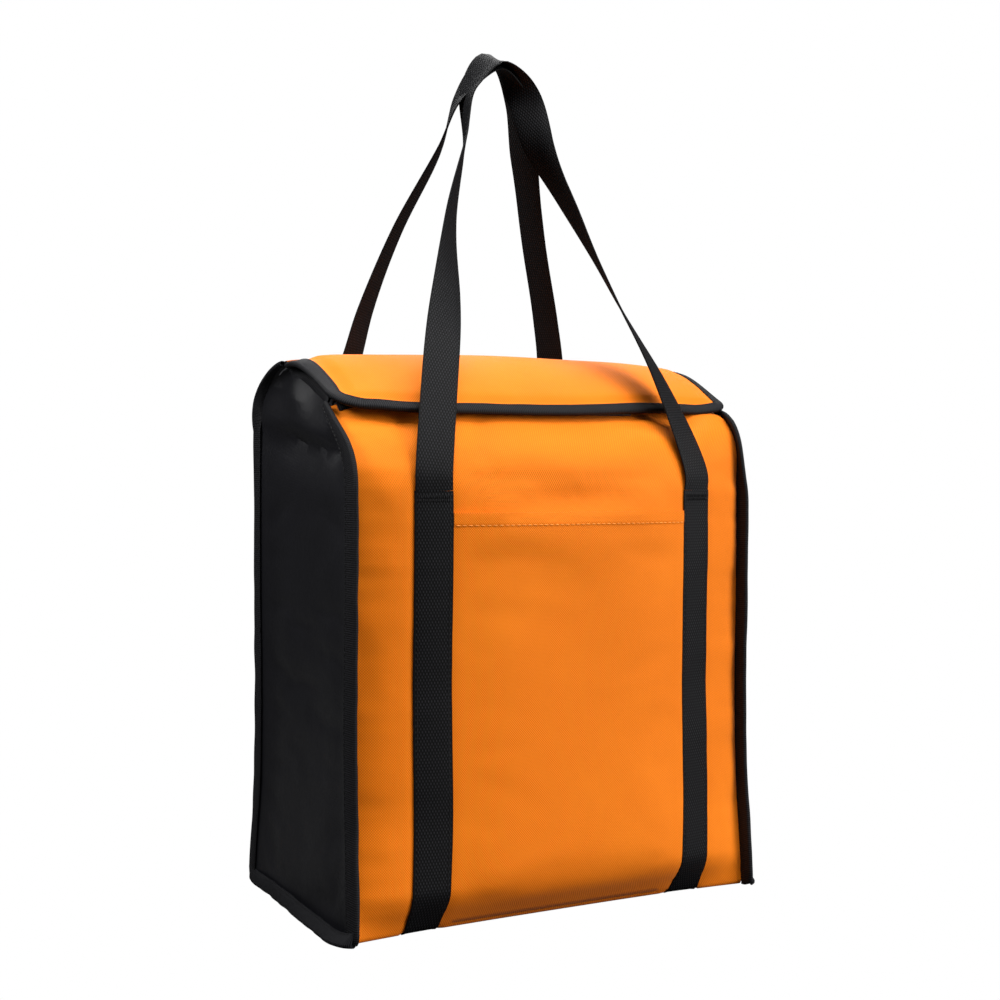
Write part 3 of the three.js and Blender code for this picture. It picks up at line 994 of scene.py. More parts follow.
    def relief(self, x: float, distance: float) -> float:
        """Sewn and slack detail: puffed strips, grooves under the bands and gathers at the seams."""
        span = abs(x)
        edge = self.half_width - span
        (_, height), (_, out_z) = self.seam(distance)
        on_face = ease(height, self.base, self.base + self.face_run)
        across = (span - self.band_outer) / (self.half_width - self.band_outer)
        puff = self.strip_puff * math.sin(math.pi * clamp(across)) * on_face
        sunk = ease(span, self.band_inner - self.groove_edge, self.band_inner + self.groove_lip)
        sunk *= 1 - ease(span, self.band_outer - self.groove_lip, self.band_outer + self.groove_edge)
        side = self.right_gathers if x > 0 else self.left_gathers
        pulled = ripple(distance, side, self.gather_length, Seed.GATHER)
        pulled += 0.5 * ripple(distance, side, self.fine_gather_length, Seed.FINE_GATHER)
        gathered = pulled * math.exp(-edge / self.gather_reach) * (1 - math.exp(-edge / self.gather_hold))
        beside = abs(span - self.band_middle) - self.band_width / 2
        tucked = ripple(distance, span * self.tuck_slant + side, self.tuck_length, Seed.TUCK)
        tucked *= math.exp(-max(beside, 0.0) / self.tuck_reach)
        slack = ripple(x, distance, self.sag_length, Seed.SAG) * ease(edge, 0.0, self.sag_reach)
        crease = hill(height, self.base + self.crease_height, self.crease_reach)
        crease *= 1 - ease(distance, self.base_front, self.base_back)
        resting = max(-out_z, 0.0) * (1 - sunk)
        settled = self.slack.height(x, distance) if self.slack else 0.0
        raised = puff + (self.gather * gathered + self.sag * slack) * on_face + self.tuck * tucked
        drawn = self.band_groove * sunk * (1 - resting) + self.base_crease * crease
        return settled + raised - drawn + self.base_sag * resting

    def wrap(self, x: float, distance: float, out: float) -> Vector:
        """A point of the wrap at a distance out of its outer face."""
        at_mouth = ease(x, self.full_from_at_mouth, self.half_width)
        full = mix(at_mouth, ease(x, self.full_from, self.half_width), ease(distance, *self.full_run))
        place = self.seam(distance, 1 - self.swell(x), full)
        below = self.front_bottom < distance < self.back_bottom
        push = Vector((place.at.x / self.half_depth, 0.0)) if below else place.out
        at = place.at + push * self.pillow(x, distance) + place.out * (self.relief(x, distance) + out)
        return Vector((x + self.foot_shift(at.x, at.y), at.x, at.y))

    def wrap_frame(self, x: float, distance: float, out: float) -> tuple[Vector, Vector, Vector, Vector]:
        """A place on the wrap with its directions.

        Args:
            x: place across the bag.
            distance: place along the seam.
            out: height over the outer face.

        Returns:
            The point, the directions across and along the cloth, and the direction out of it.
        """
        nudge = 0.001
        at = self.wrap(x, distance, out)
        across = (self.wrap(x + nudge, distance, out) - at).normalized()
        along = (self.wrap(x, distance + nudge, out) - at).normalized()
        return at, across, along, along.cross(across).normalized()


class Edge(NamedTuple):
    """A place along a bound edge, the ways into the cloth and out of its face, and the legs' share."""

    at: Vector
    inward: Vector
    face: Vector
    cover: float = 1.0


@dataclass(frozen=True)
class StitchRow:
    """A row of lock stitches."""

    length: float = 0.0028
    gap: float = 0.0012
    thread: float = 0.0006
    inset: float = 0.0014

    def run(self, shell: Shell, spots: Sequence[Vector], ups: Sequence[Vector]) -> None:
        """Adds stitches along a line of spots.

        Args:
            shell: the mesh that takes them.
            spots: the line that they follow.
            ups: the direction out of the cloth at each spot.
        """
        pitch = self.length + self.gap
        travelled = 0.0
        due = pitch / 2
        for (start, end), up in zip(pairwise(spots), ups):
            step = end - start
            while due <= travelled + step.length:
                at = start.lerp(end, (due - travelled) / step.length)
                shell.stitch(at, step, up, self.length, self.thread)
                due += pitch
            travelled += step.length


@dataclass(frozen=True)
class FoldedTape:
    """Tape folded over an edge, with a leg on its face and on its back and a round nose."""

    leg: float
    back_leg: float
    core: float
    tape: float = 0.0007
    nose_steps: int = 6

    def ring(self) -> list[Corner]:
        """The tape's section as (inward, height) corners, round the outside and back along the inside."""
        half = self.core / 2
        angles = [math.pi / 2 + math.pi * i / self.nose_steps for i in range(self.nose_steps + 1)]
        outer = [((half + self.tape) * math.cos(a), (half + self.tape) * math.sin(a)) for a in angles]
        inner = [(half * math.cos(a), half * math.sin(a)) for a in reversed(angles)]
        ends = ((1.0, 0.5), (0.96, 1.0), (0.5, 1.0))
        upper = [(self.leg * share, half + self.tape * plump) for share, plump in ends]
        lower = [(self.back_leg * share, -half - self.tape * plump) for share, plump in reversed(ends)]
        return [*upper, *outer, *lower, (self.back_leg, -half), *inner, (self.leg, half)]

    def run(self, shell: Shell, edges: Sequence[Edge]) -> None:
        """Adds the tape along one edge to a mesh."""
        stations = running((end.at - start.at).length for start, end in pairwise(edges))
        edge_at = dict(zip(stations, edges))

        def place(corner: Corner, station: float) -> Vector:
            """A corner of the section at a station."""
            edge = edge_at[station]
            inward = corner[0] * edge.cover if corner[0] > 0 else corner[0]
            return edge.at + edge.inward * inward + edge.face * corner[1]

        shell.sweep(self.ring(), stations, place)

    def build(self, name: str, *runs: Sequence[Edge]) -> bpy.types.Object:
        """Makes one piece of tape from its runs along edges."""
        shell = Shell()
        for edges in runs:
            self.run(shell, edges)
        return shell.finish(name)

    def sewn(self, shell: Shell, edges: Sequence[Edge], seam: StitchRow) -> None:
        """Adds a row of stitches near the end of the face leg."""
        height = self.core / 2 + self.tape
        spots = [edge.at + edge.inward * (self.leg * edge.cover - seam.inset) + edge.face * height
                 for edge in edges]
        seam.run(shell, spots, [edge.face for edge in edges])


@dataclass(frozen=True)
class Closure:
    """The hook and loop strips under the lid's front."""

    inset: float = 0.007
    width: float = 0.016
    thickness: float = 0.0015
    reach: float = 0.072


@dataclass
class SewnPart:
    """A sub-assembly of the bag, with the form that it follows and the finishes that it wears."""

    form: BagForm
    wardrobe: Wardrobe
    cell: float = 0.004


@dataclass
class PaddedPart(SewnPart):
    """A sub-assembly with padded walls, whose layers are depths in from the outer face."""

    wall: float = 0.0041
    film_start: float = 0.0044
    film_end: float = 0.0048


@dataclass
class Body(PaddedPart):
    """The wrap, its lining, the gussets and the tapes that bind them."""

    gusset_levels: tuple[float, ...] = (0.0, 0.05, 0.66, 0.7, 0.77, 1.0)
    film_reach: float = 0.0026
    seam_slack: float = 0.0003
    mitre: float = 0.0002
    dish: float = 0.003
    dish_run: float = 0.06
    top_bow: float = 0.004
    crest_front: tuple[float, float] = (-0.054, 0.3316)
    crest_back: tuple[float, float] = (0.083, 0.351)
    fold_lines: tuple[tuple[float, float], ...] = (
        (-0.070, 0.0), (-0.032, 0.0015), (-0.014, 0.006), (-0.007, 0.0092), (-0.001, 0.003),
        (0.004, -0.0004), (0.012, 0.0016), (0.024, 0.0065), (0.036, 0.0098), (0.046, 0.0115))
    fold_blur: float = 0.002
    fold_power: float = 0.7
    fold_level: float = 0.76
    hollow_at: tuple[float, float] = (-0.046, 0.333)
    hollow_depth: float = 0.007
    hollow_reach: float = 0.013
    facet_at: tuple[float, float] = (0.026, 0.372)
    facet_rise: float = 0.0075
    facet_reach: float = 0.016
    slack_rise: float = 0.0016
    slack_length: float = 0.06
    fine_slack_rise: float = 0.0007
    fine_slack_length: float = 0.024
    slack_growth: float = 0.02
    seam_hold: float = 0.004
    fold_hold: float = 0.35
    fold_stop: float = 0.002
    edge_roll: float = 0.0023
    edge_roll_reach: float = 0.014
    flange_reach: float = 0.012
    flange_tuck: float = 0.0035
    flange_core: float = 0.0021
    flange_tape: float = 0.0007
    flange_lean: float = math.radians(3)
    flange_offset: float = 0.0014
    flange_gap: float = 0.0004
    flange_wave: float = 0.09
    flange_wave_length: float = 0.06
    fine_wave: float = 0.05
    fine_wave_length: float = 0.022
    shoulder_run: float = 0.012
    gusset_cover: float = 0.0036
    mouth_leg: float = 0.007
    mouth_share: float = 0.45
    mouth_gap: float = 0.002
    mouth_ease: float = 0.0002
    floor_gap: float = 0.0012
    foot_round: float = 0.008
    side_mouth_leg: float = 0.0095
    side_mouth_span: tuple[float, float] = (0.05, 0.96)
    side_mouth_step: float = 0.03
    roll_low: float = 0.0024
    roll_root: float = 0.0105
    roll_back: float = 0.004
    roll_front: float = 0.0115
    roll_past: float = 0.009
    roll_gap: float = 0.0012
    roll_cover: float = 0.62
    roll_end: float = 0.020
    roll_end_round: float = 0.94
    roll_end_rise: float = 0.001
    roll_wave: float = 0.0016
    roll_wave_length: float = 0.034
    fine_roll: float = 0.0009
    fine_roll_length: float = 0.014
    shoulder_lean: dict[Side, float] = field(default_factory=lambda: {
        Side.LEFT: math.radians(3), Side.RIGHT: math.radians(27)})

    def __post_init__(self) -> None:
        """Matches places up the front seam with places up the back seam, for the gussets."""
        form = self.form
        pocket_top = form.front_top + form.pocket_drop
        crown_step = (form.seam_length - self.fold_stop - form.crown_start) / 2
        self.gusset_front = [form.base_front, form.front_bottom, pocket_top,
                             form.front_top, form.slope_end, 0.0]
        self.gusset_back = [form.base_back, form.back_bottom, form.back_top, form.crown_start,
                            form.crown_start + crown_step, form.crown_start + 2 * crown_step]
        self.slack: dict[Side, SewnCloth] = {}

    def settle(self) -> None:
        """Finds the slack of the gussets' cloth, which is the same on both sides but mirrored."""
        reach, cell = self.form.half_depth, self.form.slack_cell
        columns, rows = steps(-reach, reach, cell), steps(0.0, self.form.top, cell)

        def held(y: float, z: float) -> float:
            """1 along the seams, and over the folds at the top."""
            return float(reach - abs(y) < self.seam_hold or z < self.seam_hold or z > self.fold_hold)

        cloth = SewnCloth(columns, rows, lambda y, z: Vector((0.0, -y, z)), held, growth=self.slack_growth)
        self.slack = {side: cloth for side in Side}

    def build(self) -> None:
        """Makes every piece of the body."""
        self.settle()
        self.build_wrap()
        for side in Side:
            self.build_gusset(side)
            self.build_seam_tape(side)
            self.build_side_mouth_tape(side)
        self.build_front_mouth_tape()

    def wrap_rows(self) -> list[float]:
        """Places along the seam, closer together round the bends."""
        form = self.form
        marks = form.marks
        runs = [steps(start, end, self.cell if isinstance(stretch, Straight) else self.cell / 2)
                for stretch, start, end in zip(form.stretches, marks, marks[1:])]
        return joined(*runs)

    def build_wrap(self) -> None:
        """Makes the padded wrap and the foil film inside it."""
        form = self.form
        edge = form.half_width - self.mitre
        columns = steps(-edge, edge, self.cell)
        rows = self.wrap_rows()

        def face(out: float) -> Place:
            """The wrap at a depth, drawn in at its ends so that the corner is mitred."""
            inset = 1 + out / edge
            return lambda x, distance: form.wrap(x * inset, distance, out)

        shell = Shell()
        shell.wall(columns, rows, face(0.0), face(-self.wall))
        panel = dress(shell.finish("wrap_panel"), self.wardrobe.orange, "orange_oxford",
                      "outer_wrap", "front_foam", "base_foam", "back_foam")
        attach(panel, "root")

        shell = Shell()
        to_corner = 1 + self.film_reach / edge
        film_columns = [x * to_corner for x in columns]
        shell.wall(film_columns, rows, face(-self.film_start), face(-self.film_end))
        film = dress(shell.finish("wrap_lining_film"), self.wardrobe.foil, "silver_foil", "wrap_lining")
        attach(film, "root")
        2 * edge

    def gusset_rows(self, level: float) -> tuple[float, float]:
        """Places up the front and the back seam that a level of the gusset joins."""
        levels = self.gusset_levels
        for i in range(len(levels) - 1):
            if level <= levels[i + 1]:
                break
        share = (level - levels[i]) / (levels[i + 1] - levels[i])
        front = mix(self.gusset_front[i], self.gusset_front[i + 1], share)
        back = mix(self.gusset_back[i], self.gusset_back[i + 1], share)
        return front, back

    def gusset_fold(self, side: Side, share: float, y: float, z: float) -> float:
        """How far the gusset lies in from its seams: a shallow dish, and folds towards its top."""
        (front_y, front_z), (back_y, back_z) = self.crest_front, self.crest_back
        over = z - mix(front_z, back_z, (y - front_y) / (back_y - front_y))
        bell = math.sin(math.pi * clamp(share))
        low = self.dish * bell * ease(z, self.form.base, self.form.base + self.dish_run)
        folded = along_table(self.fold_lines, over, self.fold_blur) * bell ** self.fold_power
        hollow = self.hollow_depth * hill(math.dist((y, z), self.hollow_at), 0.0, self.hollow_reach)
        facet = self.facet_rise * hill(math.dist((y, z), self.facet_at), 0.0, self.facet_reach)
        slack = self.slack_rise * ripple(y, z, self.slack_length, Seed.GUSSET.on(side))
        slack += self.fine_slack_rise * ripple(y, z, self.fine_slack_length, Seed.FINE_GUSSET.on(side))
        settled = self.slack[side].height(y, z) if side in self.slack else 0.0
        return low + folded + (hollow - facet + slack) * ease(bell, 0.0, 0.5) - settled

    def gusset(self, side: Side, share: float, level: float, depth: float) -> Vector:
        """A point of a gusset.

        Args:
            side: which end of the bag.
            share: place from the front seam to the back seam.
            level: place from the base to the top edge.
            depth: distance in from its outer face.

        Returns:
            The point.
        """
        form = self.form
        front_row, back_row = self.gusset_rows(level)
        front, back = form.seam(front_row, full=max(side.value, 0)), form.seam(back_row)
        clear = -(self.seam_slack + depth)
        at = (front.at + front.out * clear).lerp(back.at + back.out * clear, share)
        bow = self.top_bow * 4 * share * (1 - share) * ease(at.y, form.face_top, form.top)
        y, z = at.x, at.y + bow
        fold = self.gusset_fold(side, share, y, z)
        to_seam = min(share, 1 - share) * 2 * form.half_depth
        near_face = max(1 - depth / self.wall, 0.0)
        roll = self.edge_roll * math.exp(-min(to_seam, z) / self.edge_roll_reach) * near_face
        return Vector((side.value * (form.half_width + roll - depth - fold) + form.foot_shift(y, z), y, z))

    def build_gusset(self, side: Side) -> None:
        """Makes one padded gusset and its film."""
        form = self.form
        width, height = 2 * form.half_depth, form.top
        columns = steps(0.0, width, self.cell)
        fold_start = self.fold_level * height
        rows = joined(steps(0.0, fold_start, self.cell), steps(fold_start, height, self.cell / 2))

        def face(depth: float) -> Place:
            """The gusset at a depth."""
            return lambda a, b: self.gusset(side, a / width, b / height, depth)

        shell = Shell()
        shell.wall(columns, rows, face(0.0), face(self.wall))
        panel = dress(shell.finish(f"{side.word}_gusset_panel"), self.wardrobe.black, "black_oxford",
                      f"{side.word}_gusset", f"{side.word}_gusset_foam")
        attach(panel, "root")

        shell = Shell()
        shell.wall(columns, rows, face(self.film_start), face(self.film_end))
        film = dress(shell.finish(f"{side.word}_gusset_film"), self.wardrobe.foil, "silver_foil",
                     f"{side.word}_gusset_lining")
        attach(film, "root")

    def flange_edge(self, side: Side, distance: float) -> Edge:
        """The bound flange of a side seam at a distance along it.

        Args:
            side: which end of the bag.
            distance: place along the seam.

        Returns:
            The flange's tip, the way to its root and the way out of its gusset face.
        """
        form = self.form
        place = form.seam(distance, full=max(side.value, 0))
        across = Vector((side.value, 0.0, 0.0))
        away = Vector((0.0, place.out.x, place.out.y))
        on_shoulder = 1 - ease(distance, form.slope_end, form.front_top + self.shoulder_run)
        turned = abs(place.out.y) if distance > form.base_back else 0.0
        wave = self.flange_wave * ripple(distance, 0.0, self.flange_wave_length, Seed.FLANGE.on(side))
        wave += self.fine_wave * ripple(distance, 0.0, self.fine_wave_length, Seed.FINE_FLANGE.on(side))
        lean = mix(self.flange_lean, self.shoulder_lean[side], on_shoulder)
        angle = mix(-lean, math.pi / 2, turned) + wave
        reach = away * math.cos(angle) + across * math.sin(angle)
        rise = across * math.cos(angle) - away * math.sin(angle)
        half = self.flange_core / 2 + self.flange_tape
        narrowed = mix(1.0, self.mouth_share, 1 - ease(distance, 0.0, form.front_top))
        tip = mix(self.flange_reach * narrowed, self.flange_tuck, turned) - half
        shift = form.foot_shift(place.at.x, place.at.y)
        root = Vector((side.value * form.half_width + shift, place.at.x, place.at.y))
        root += away * mix(self.flange_gap, self.seam_slack - half, turned)
        root += across * mix(self.flange_offset, self.flange_gap, turned)
        return Edge(root + reach * tip, -reach, rise, tip / self.flange_leg)

    @property
    def flange_leg(self) -> float:
        """Width of the flange from its root to the start of its tape's nose."""
        return self.flange_reach - self.flange_core / 2 - self.flange_tape

    def footed(self, edge: Edge) -> list[Edge]:
        """The flange's straight end below an edge, down to the floor."""
        return [edge._replace(at=Vector((edge.at.x, edge.at.y, height)))
                for height in steps(edge.at.z, self.floor_gap, self.cell / 2)[1:]]

    def rounded(self, edges: Sequence[Edge]) -> list[Edge]:
        """A flange with its corner at the floor rounded off."""
        ends = []
        for edge in edges:
            low = clamp(1 - (edge.at.z - self.floor_gap) / self.foot_round)
            back = self.foot_round * (1 - math.sqrt(1 - low ** 2))
            cover = edge.cover - back / self.flange_leg
            ends.append(edge._replace(at=edge.at + edge.inward * back, cover=cover))
        return ends

    def base_edges(self, side: Side) -> list[Edge]:
        """The flange along the base, pressed out and down by the bag's weight."""
        form = self.form
        reach = form.half_depth + form.foot_flare + self.roll_past
        edges = []
        for y in steps(-reach, reach, self.cell / 2):
            wave = self.roll_wave * ripple(y, 0.0, self.roll_wave_length, Seed.FOOT + side.value)
            wave += self.fine_roll * ripple(y, 0.0, self.fine_roll_length, Seed.FINE_FOOT)
            to_end = max(1 - (reach - abs(y)) / self.roll_end, 0.0)
            out = mix(self.roll_front, self.roll_back, ease(y, -reach, reach))
            out *= math.sqrt(1 - self.roll_end_round * to_end ** 2)
            shift = form.foot_shift(y, 0.0)
            root_x = side.value * (form.half_width + self.roll_gap) + shift
            tip_x = side.value * (form.half_width + out + wave) + shift
            root = Vector((root_x, y, self.roll_root + 0.5 * wave))
            tip = Vector((tip_x, y, self.roll_low + self.roll_end_rise * to_end))
            inward = (root - tip).normalized()
            face = Vector((side.value * inward.z, 0.0, abs(inward.x)))
            edges.append(Edge(tip, inward, face, self.roll_cover))
        return edges

    def build_seam_tape(self, side: Side) -> None:
        """Makes the tape round one side seam, and its stitches."""
        form = self.form
        rows = self.wrap_rows()
        front = [self.flange_edge(side, row) for row in rows if row <= form.front_bottom]
        back = [self.flange_edge(side, row) for row in rows
                if form.back_bottom <= row <= form.seam_length - self.fold_stop]
        leg = self.flange_leg
        tape = FoldedTape(leg + self.gusset_cover, leg, self.flange_core, self.flange_tape)
        runs = (self.rounded([*front, *self.footed(front[-1])]), self.base_edges(side),
                self.rounded([*reversed(self.footed(back[0])), *back]))
        piece = tape.build(f"{side.word}_seam_tape", *runs)
        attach(dress(piece, self.wardrobe.tape, "binding_tape", f"{side.word}_seam_binding"), "root")
        shell = Shell()
        for edges in runs:
            tape.sewn(shell, edges, StitchRow())
        stitches = shell.finish(f"{side.word}_seam_stitches")
        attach(dress(stitches, self.wardrobe.black_thread, "binding_tape"), "root")

    def build_front_mouth_tape(self) -> None:
        """Makes the tape over the front panel's top edge."""
        form = self.form
        end = form.half_width - self.film_end - self.mouth_gap
        middle = -self.film_end / 2
        edges = []
        for x in steps(-end, end, 2 * self.cell):
            at = form.wrap(x, 0.0, middle)
            inward = (form.wrap(x, self.mouth_leg, middle) - at).normalized()
            out = form.seam(0.0).out
            edges.append(Edge(at, inward, Vector((0.0, out.x, out.y))))
        tape = FoldedTape(self.mouth_leg, self.mouth_leg, self.film_end + self.mouth_ease)
        piece = tape.build("front_mouth_tape", edges)
        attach(dress(piece, self.wardrobe.tape, "binding_tape", "front_mouth_binding"), "root")

    def build_side_mouth_tape(self, side: Side) -> None:
        """Makes the tape over the top edge of one gusset."""
        below, nudge = 0.97, 0.01

        def place(share: float, level: float) -> Vector:
            """The middle of the gusset's wall."""
            return self.gusset(side, share, level, self.film_end / 2)

        edges = []
        for share in steps(*self.side_mouth_span, self.side_mouth_step):
            at = place(share, 1.0)
            inward = (place(share, below) - at).normalized()
            along = place(share + nudge, 1.0) - place(share - nudge, 1.0)
            face = along.cross(inward).normalized()
            edges.append(Edge(at, inward, face if face.x * side.value > 0 else -face))
        tape = FoldedTape(self.side_mouth_leg, self.mouth_leg, self.film_end + self.mouth_ease)
        piece = tape.build(f"{side.word}_mouth_tape", edges)
        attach(dress(piece, self.wardrobe.tape, "binding_tape", f"{side.word}_mouth_binding"), "root")


@dataclass
class Lid(PaddedPart):
    """The flap lid with its film, its tape and its half of the closure."""

    overlap_middle: float = 0.031
    overlap_ends: float = 0.012
    lift_middle: float = 0.0056
    lift_ends: float = 0.017
    lift_power: float = 0.7
    crown: float = 0.020
    crown_left: float = 0.003
    crown_right: float = 0.008
    crown_power: float = 0.5
    back_run: float = 0.050
    back_run_left: float = 0.026
    nose_run: float = 0.042
    side_slope: float = math.radians(26)
    edge_wall: float = 0.0019
    edge_reach: float = 0.016
    side_inset: float = 0.0003
    corner: float = 0.006
    left_corner: float = 0.020
    corner_step: float = 0.15
    left_leg: float = 0.009
    left_leg_run: tuple[float, float] = (0.004, 0.03)
    tape_leg: float = 0.0068
    tape_ease: float = 0.0003
    fold_gap: float = 0.0003
    tape_start: float = 0.001
    left_dip: float = 0.002
    left_dip_at: float = -0.118
    left_dip_reach: float = 0.042
    left_corner_sink: float = 0.0045
    left_corner_drop: float = -0.002
    right_corner_lift: float = 0.004
    right_corner_drop: float = 0.003
    right_drop_run: tuple[float, float] = (0.12, 0.161)
    corner_run: tuple[float, float] = (0.13, 0.161)
    right_rise: float = 0.005
    right_rise_at: float = 0.085
    right_rise_reach: float = 0.055
    slack_rise: float = 0.0014
    slack_length: float = 0.07
    gather_rise: float = 0.0012
    gather_length: float = 0.022
    gather_reach: float = 0.014
    still_fold: float = 0.03
    still_edge: float = 0.008
    closure: Closure = Closure()
    closure_gap: float = 0.0003
    bend_before: float = 0.004
    bend_after: float = 0.014

    def __post_init__(self) -> None:
        """Measures the lid's length along its middle."""
        self.half_width = self.form.half_width - self.side_inset
        cuts = 40
        points = [self.curve(0.0, i / cuts)[0] for i in range(cuts + 1)]
        self.length = sum((b - a).length for a, b in pairwise(points))

    def build(self) -> None:
        """Makes every piece of the lid."""
        self.build_flap()
        self.build_tape()
        self.build_hooks()

    def drop(self, x: float) -> float:
        """How far the front edge hangs below its even line: a dip on the left and soft corners."""
        left = self.left_dip * hill(x, self.left_dip_at, self.left_dip_reach)
        left += self.left_corner_drop * ease(-x, *self.corner_run)
        right = self.right_corner_drop * ease(x, *self.right_drop_run)
        return left + right - self.right_rise * hill(x, self.right_rise_at, self.right_rise_reach)

    def lift(self, x: float) -> float:
        """Height of the front edge over the cloth below it."""
        even = mix(self.lift_ends, self.lift_middle, self.form.swell(x) ** self.lift_power)
        sunk = self.left_corner_sink * ease(-x, *self.corner_run)
        return even - sunk + self.right_corner_lift * ease(x, *self.corner_run)

    def curve(self, x: float, share: float) -> tuple[Vector, Vector]:
        """The lid's section at a place across the bag.

        Args:
            x: place across the bag.
            share: place from the fold to the front edge.

        Returns:
            The point in the YZ plane and the direction out of the lid.
        """
        form = self.form
        middle = form.swell(x)
        overlap = mix(self.overlap_ends, self.overlap_middle, middle)
        under = form.seam(overlap)
        away = form.pillow(x, overlap) + self.lift(x) + self.film_end
        front = under.at + under.out * away - form.slope_along * self.drop(x)
        fold = Vector((form.fold_y, form.top))
        crown = mix(self.crown_left if x < 0 else self.crown_right, self.crown, middle ** self.crown_power)
        back_run = mix(self.back_run_left if x < 0 else self.back_run, self.back_run, middle)
        slope = mix(self.side_slope, form.shoulder_slope, middle ** self.lift_power)
        back = fold + Vector((-back_run, crown))
        nose = front + Vector((math.cos(slope), math.sin(slope))) * self.nose_run
        rest = 1 - share
        at = fold * rest ** 3 + back * (3 * rest ** 2 * share)
        at += nose * (3 * rest * share ** 2) + front * share ** 3
        along = (back - fold) * rest ** 2 + (nose - back) * (2 * rest * share) + (front - nose) * share ** 2
        along.normalize()
        return at, Vector((along.y, -along.x))

    def recess(self, x: float) -> float:
        """How far the rounded corner keeps the front edge back."""
        corner = self.corner_at(x)
        into = abs(x) - (self.half_width - corner)
        if into <= 0:
            return 0.0
        return corner - math.sqrt(max(corner ** 2 - into ** 2, 0.0))

    def corner_at(self, x: float) -> float:
        """Radius of the front corner on the side of a place."""
        return self.left_corner if x < 0 else self.corner

    def leg_at(self, x: float, run: float) -> float:
        """Width of the tape's face at a place: broad on the left side, narrow along the front."""
        broad = ease(self.length - run, *self.left_leg_run) if x < 0 else 0.0
        return mix(self.tape_leg, self.left_leg, broad)

    def inside(self, x: float, run: float) -> float:
        """Distance from the nearest bound edge."""
        return max(min(self.half_width - abs(x), self.length - run), 0.0)

    def relief(self, x: float, run: float) -> float:
        """Slack of the lid's cloth, with small gathers at its bound edges."""
        edge = self.inside(x, run)
        slack = self.slack_rise * ripple(x, run, self.slack_length, Seed.LID)
        pulled = self.gather_rise * ripple(x, run, self.gather_length, Seed.LID_GATHER)
        pulled *= math.exp(-edge / self.gather_reach)
        return (slack + pulled) * ease(run, 0.0, self.still_fold) * ease(edge, 0.0, self.still_edge)

    def thinned(self, x: float, run: float) -> float:
        """How far the padding is pressed together under the tape, from its outer face."""
        leg = self.leg_at(x, run)
        pressed = 1 - ease(self.inside(x, run), leg, leg + self.edge_reach - self.tape_leg)
        return (self.wall - self.edge_wall) * pressed

    def point(self, x: float, run: float, out: float) -> Vector:
        """A point of the lid.

        Args:
            x: place across the bag.
            run: distance from the fold along the lid.
            out: height over its outer face, where the padding is not pressed.

        Returns:
            The point.
        """
        at, normal = self.curve(x, run / self.length)
        pressed = self.thinned(x, run) * max(1 + out / self.wall, 0.0)
        at = at + normal * (out + self.relief(x, run) - pressed)
        return Vector((x, at.x, at.y))

    def build_flap(self) -> None:
        """Makes the padded flap and the film under it."""
        half = self.half_width
        columns = joined(steps(-half, self.left_corner - half, self.cell / 3),
                         steps(self.left_corner - half, half - self.corner, self.cell),
                         steps(half - self.corner, half, self.cell / 3))
        rows = joined(steps(self.fold_gap, self.length - self.edge_reach, self.cell),
                      steps(self.length - self.edge_reach, self.length, self.cell / 2))

        def face(out: float) -> Place:
            """The lid at a height, with rounded front corners."""
            return lambda x, run: self.point(x, run * (1 - self.recess(x) / self.length), out)

        shell = Shell()
        shell.wall(columns, rows, face(0.0), face(-self.wall))
        flap = dress(shell.finish("lid_flap"), self.wardrobe.orange, "orange_oxford",
                     "lid_panel", "lid_foam")
        self.hinge(flap)

        shell = Shell()
        shell.wall(columns, rows, face(-self.film_start), face(-self.film_end))
        film = dress(shell.finish("lid_lining_film"), self.wardrobe.foil, "silver_foil", "lid_lining")
        self.hinge(film)
        2 * half
        self.length

    def hinge(self, piece: bpy.types.Object) -> None:
        """Bakes a piece's placement into its mesh."""
        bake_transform(piece)

    def outline(self) -> list[tuple[float, float, Vector]]:
        """The bound edge as (x, run, inward in the cloth) from the left of the fold round to the right."""
        def half_way(sign: int) -> list[tuple[float, float, Vector]]:
            """The bound edge of one half, from the fold to the middle of the front."""
            half, corner = self.half_width, self.corner_at(sign)
            straight = self.length - corner
            line = [(sign * half, run, Vector((-sign, 0.0)))
                    for run in steps(self.tape_start, straight, self.cell)]
            for angle in steps(0.0, math.pi / 2, self.corner_step)[1:]:
                x = half - corner + corner * math.cos(angle)
                way = Vector((-sign * math.cos(angle), -math.sin(angle)))
                line.append((sign * x, straight + corner * math.sin(angle), way))
            front = steps(half - corner, 0.0, self.cell)[1:]
            return [*line, *[(sign * x, self.length, Vector((0.0, -1.0))) for x in front]]

        return [*half_way(-1)[:-1], *reversed(half_way(1))]

    def build_tape(self) -> None:
        """Makes the tape round the lid's two sides and front."""
        core = self.edge_wall + self.film_end - self.wall

        def middle(x: float, run: float) -> Vector:
            """The middle of the lid's wall."""
            return (self.point(x, run, 0.0) + self.point(x, run, -self.film_end)) / 2

        edges = []
        for x, run, way in self.outline():
            at = middle(x, run)
            leg = self.leg_at(x, run)
            inward = (middle(x + way.x * leg, run + way.y * leg) - at).normalized()
            normal = self.curve(x, run / self.length)[1]
            face = Vector((0.0, normal.x, normal.y))
            face = (face - inward * face.dot(inward)).normalized()
            edges.append(Edge(at, inward, face, leg / self.tape_leg))
        tape = FoldedTape(self.tape_leg, self.tape_leg, core + self.tape_ease)
        self.hinge(dress(tape.build("lid_tape", edges), self.wardrobe.tape, "binding_tape", "lid_binding"))
        shell = Shell()
        tape.sewn(shell, edges, StitchRow())
        self.hinge(dress(shell.finish("lid_tape_stitches"), self.wardrobe.black_thread, "binding_tape"))

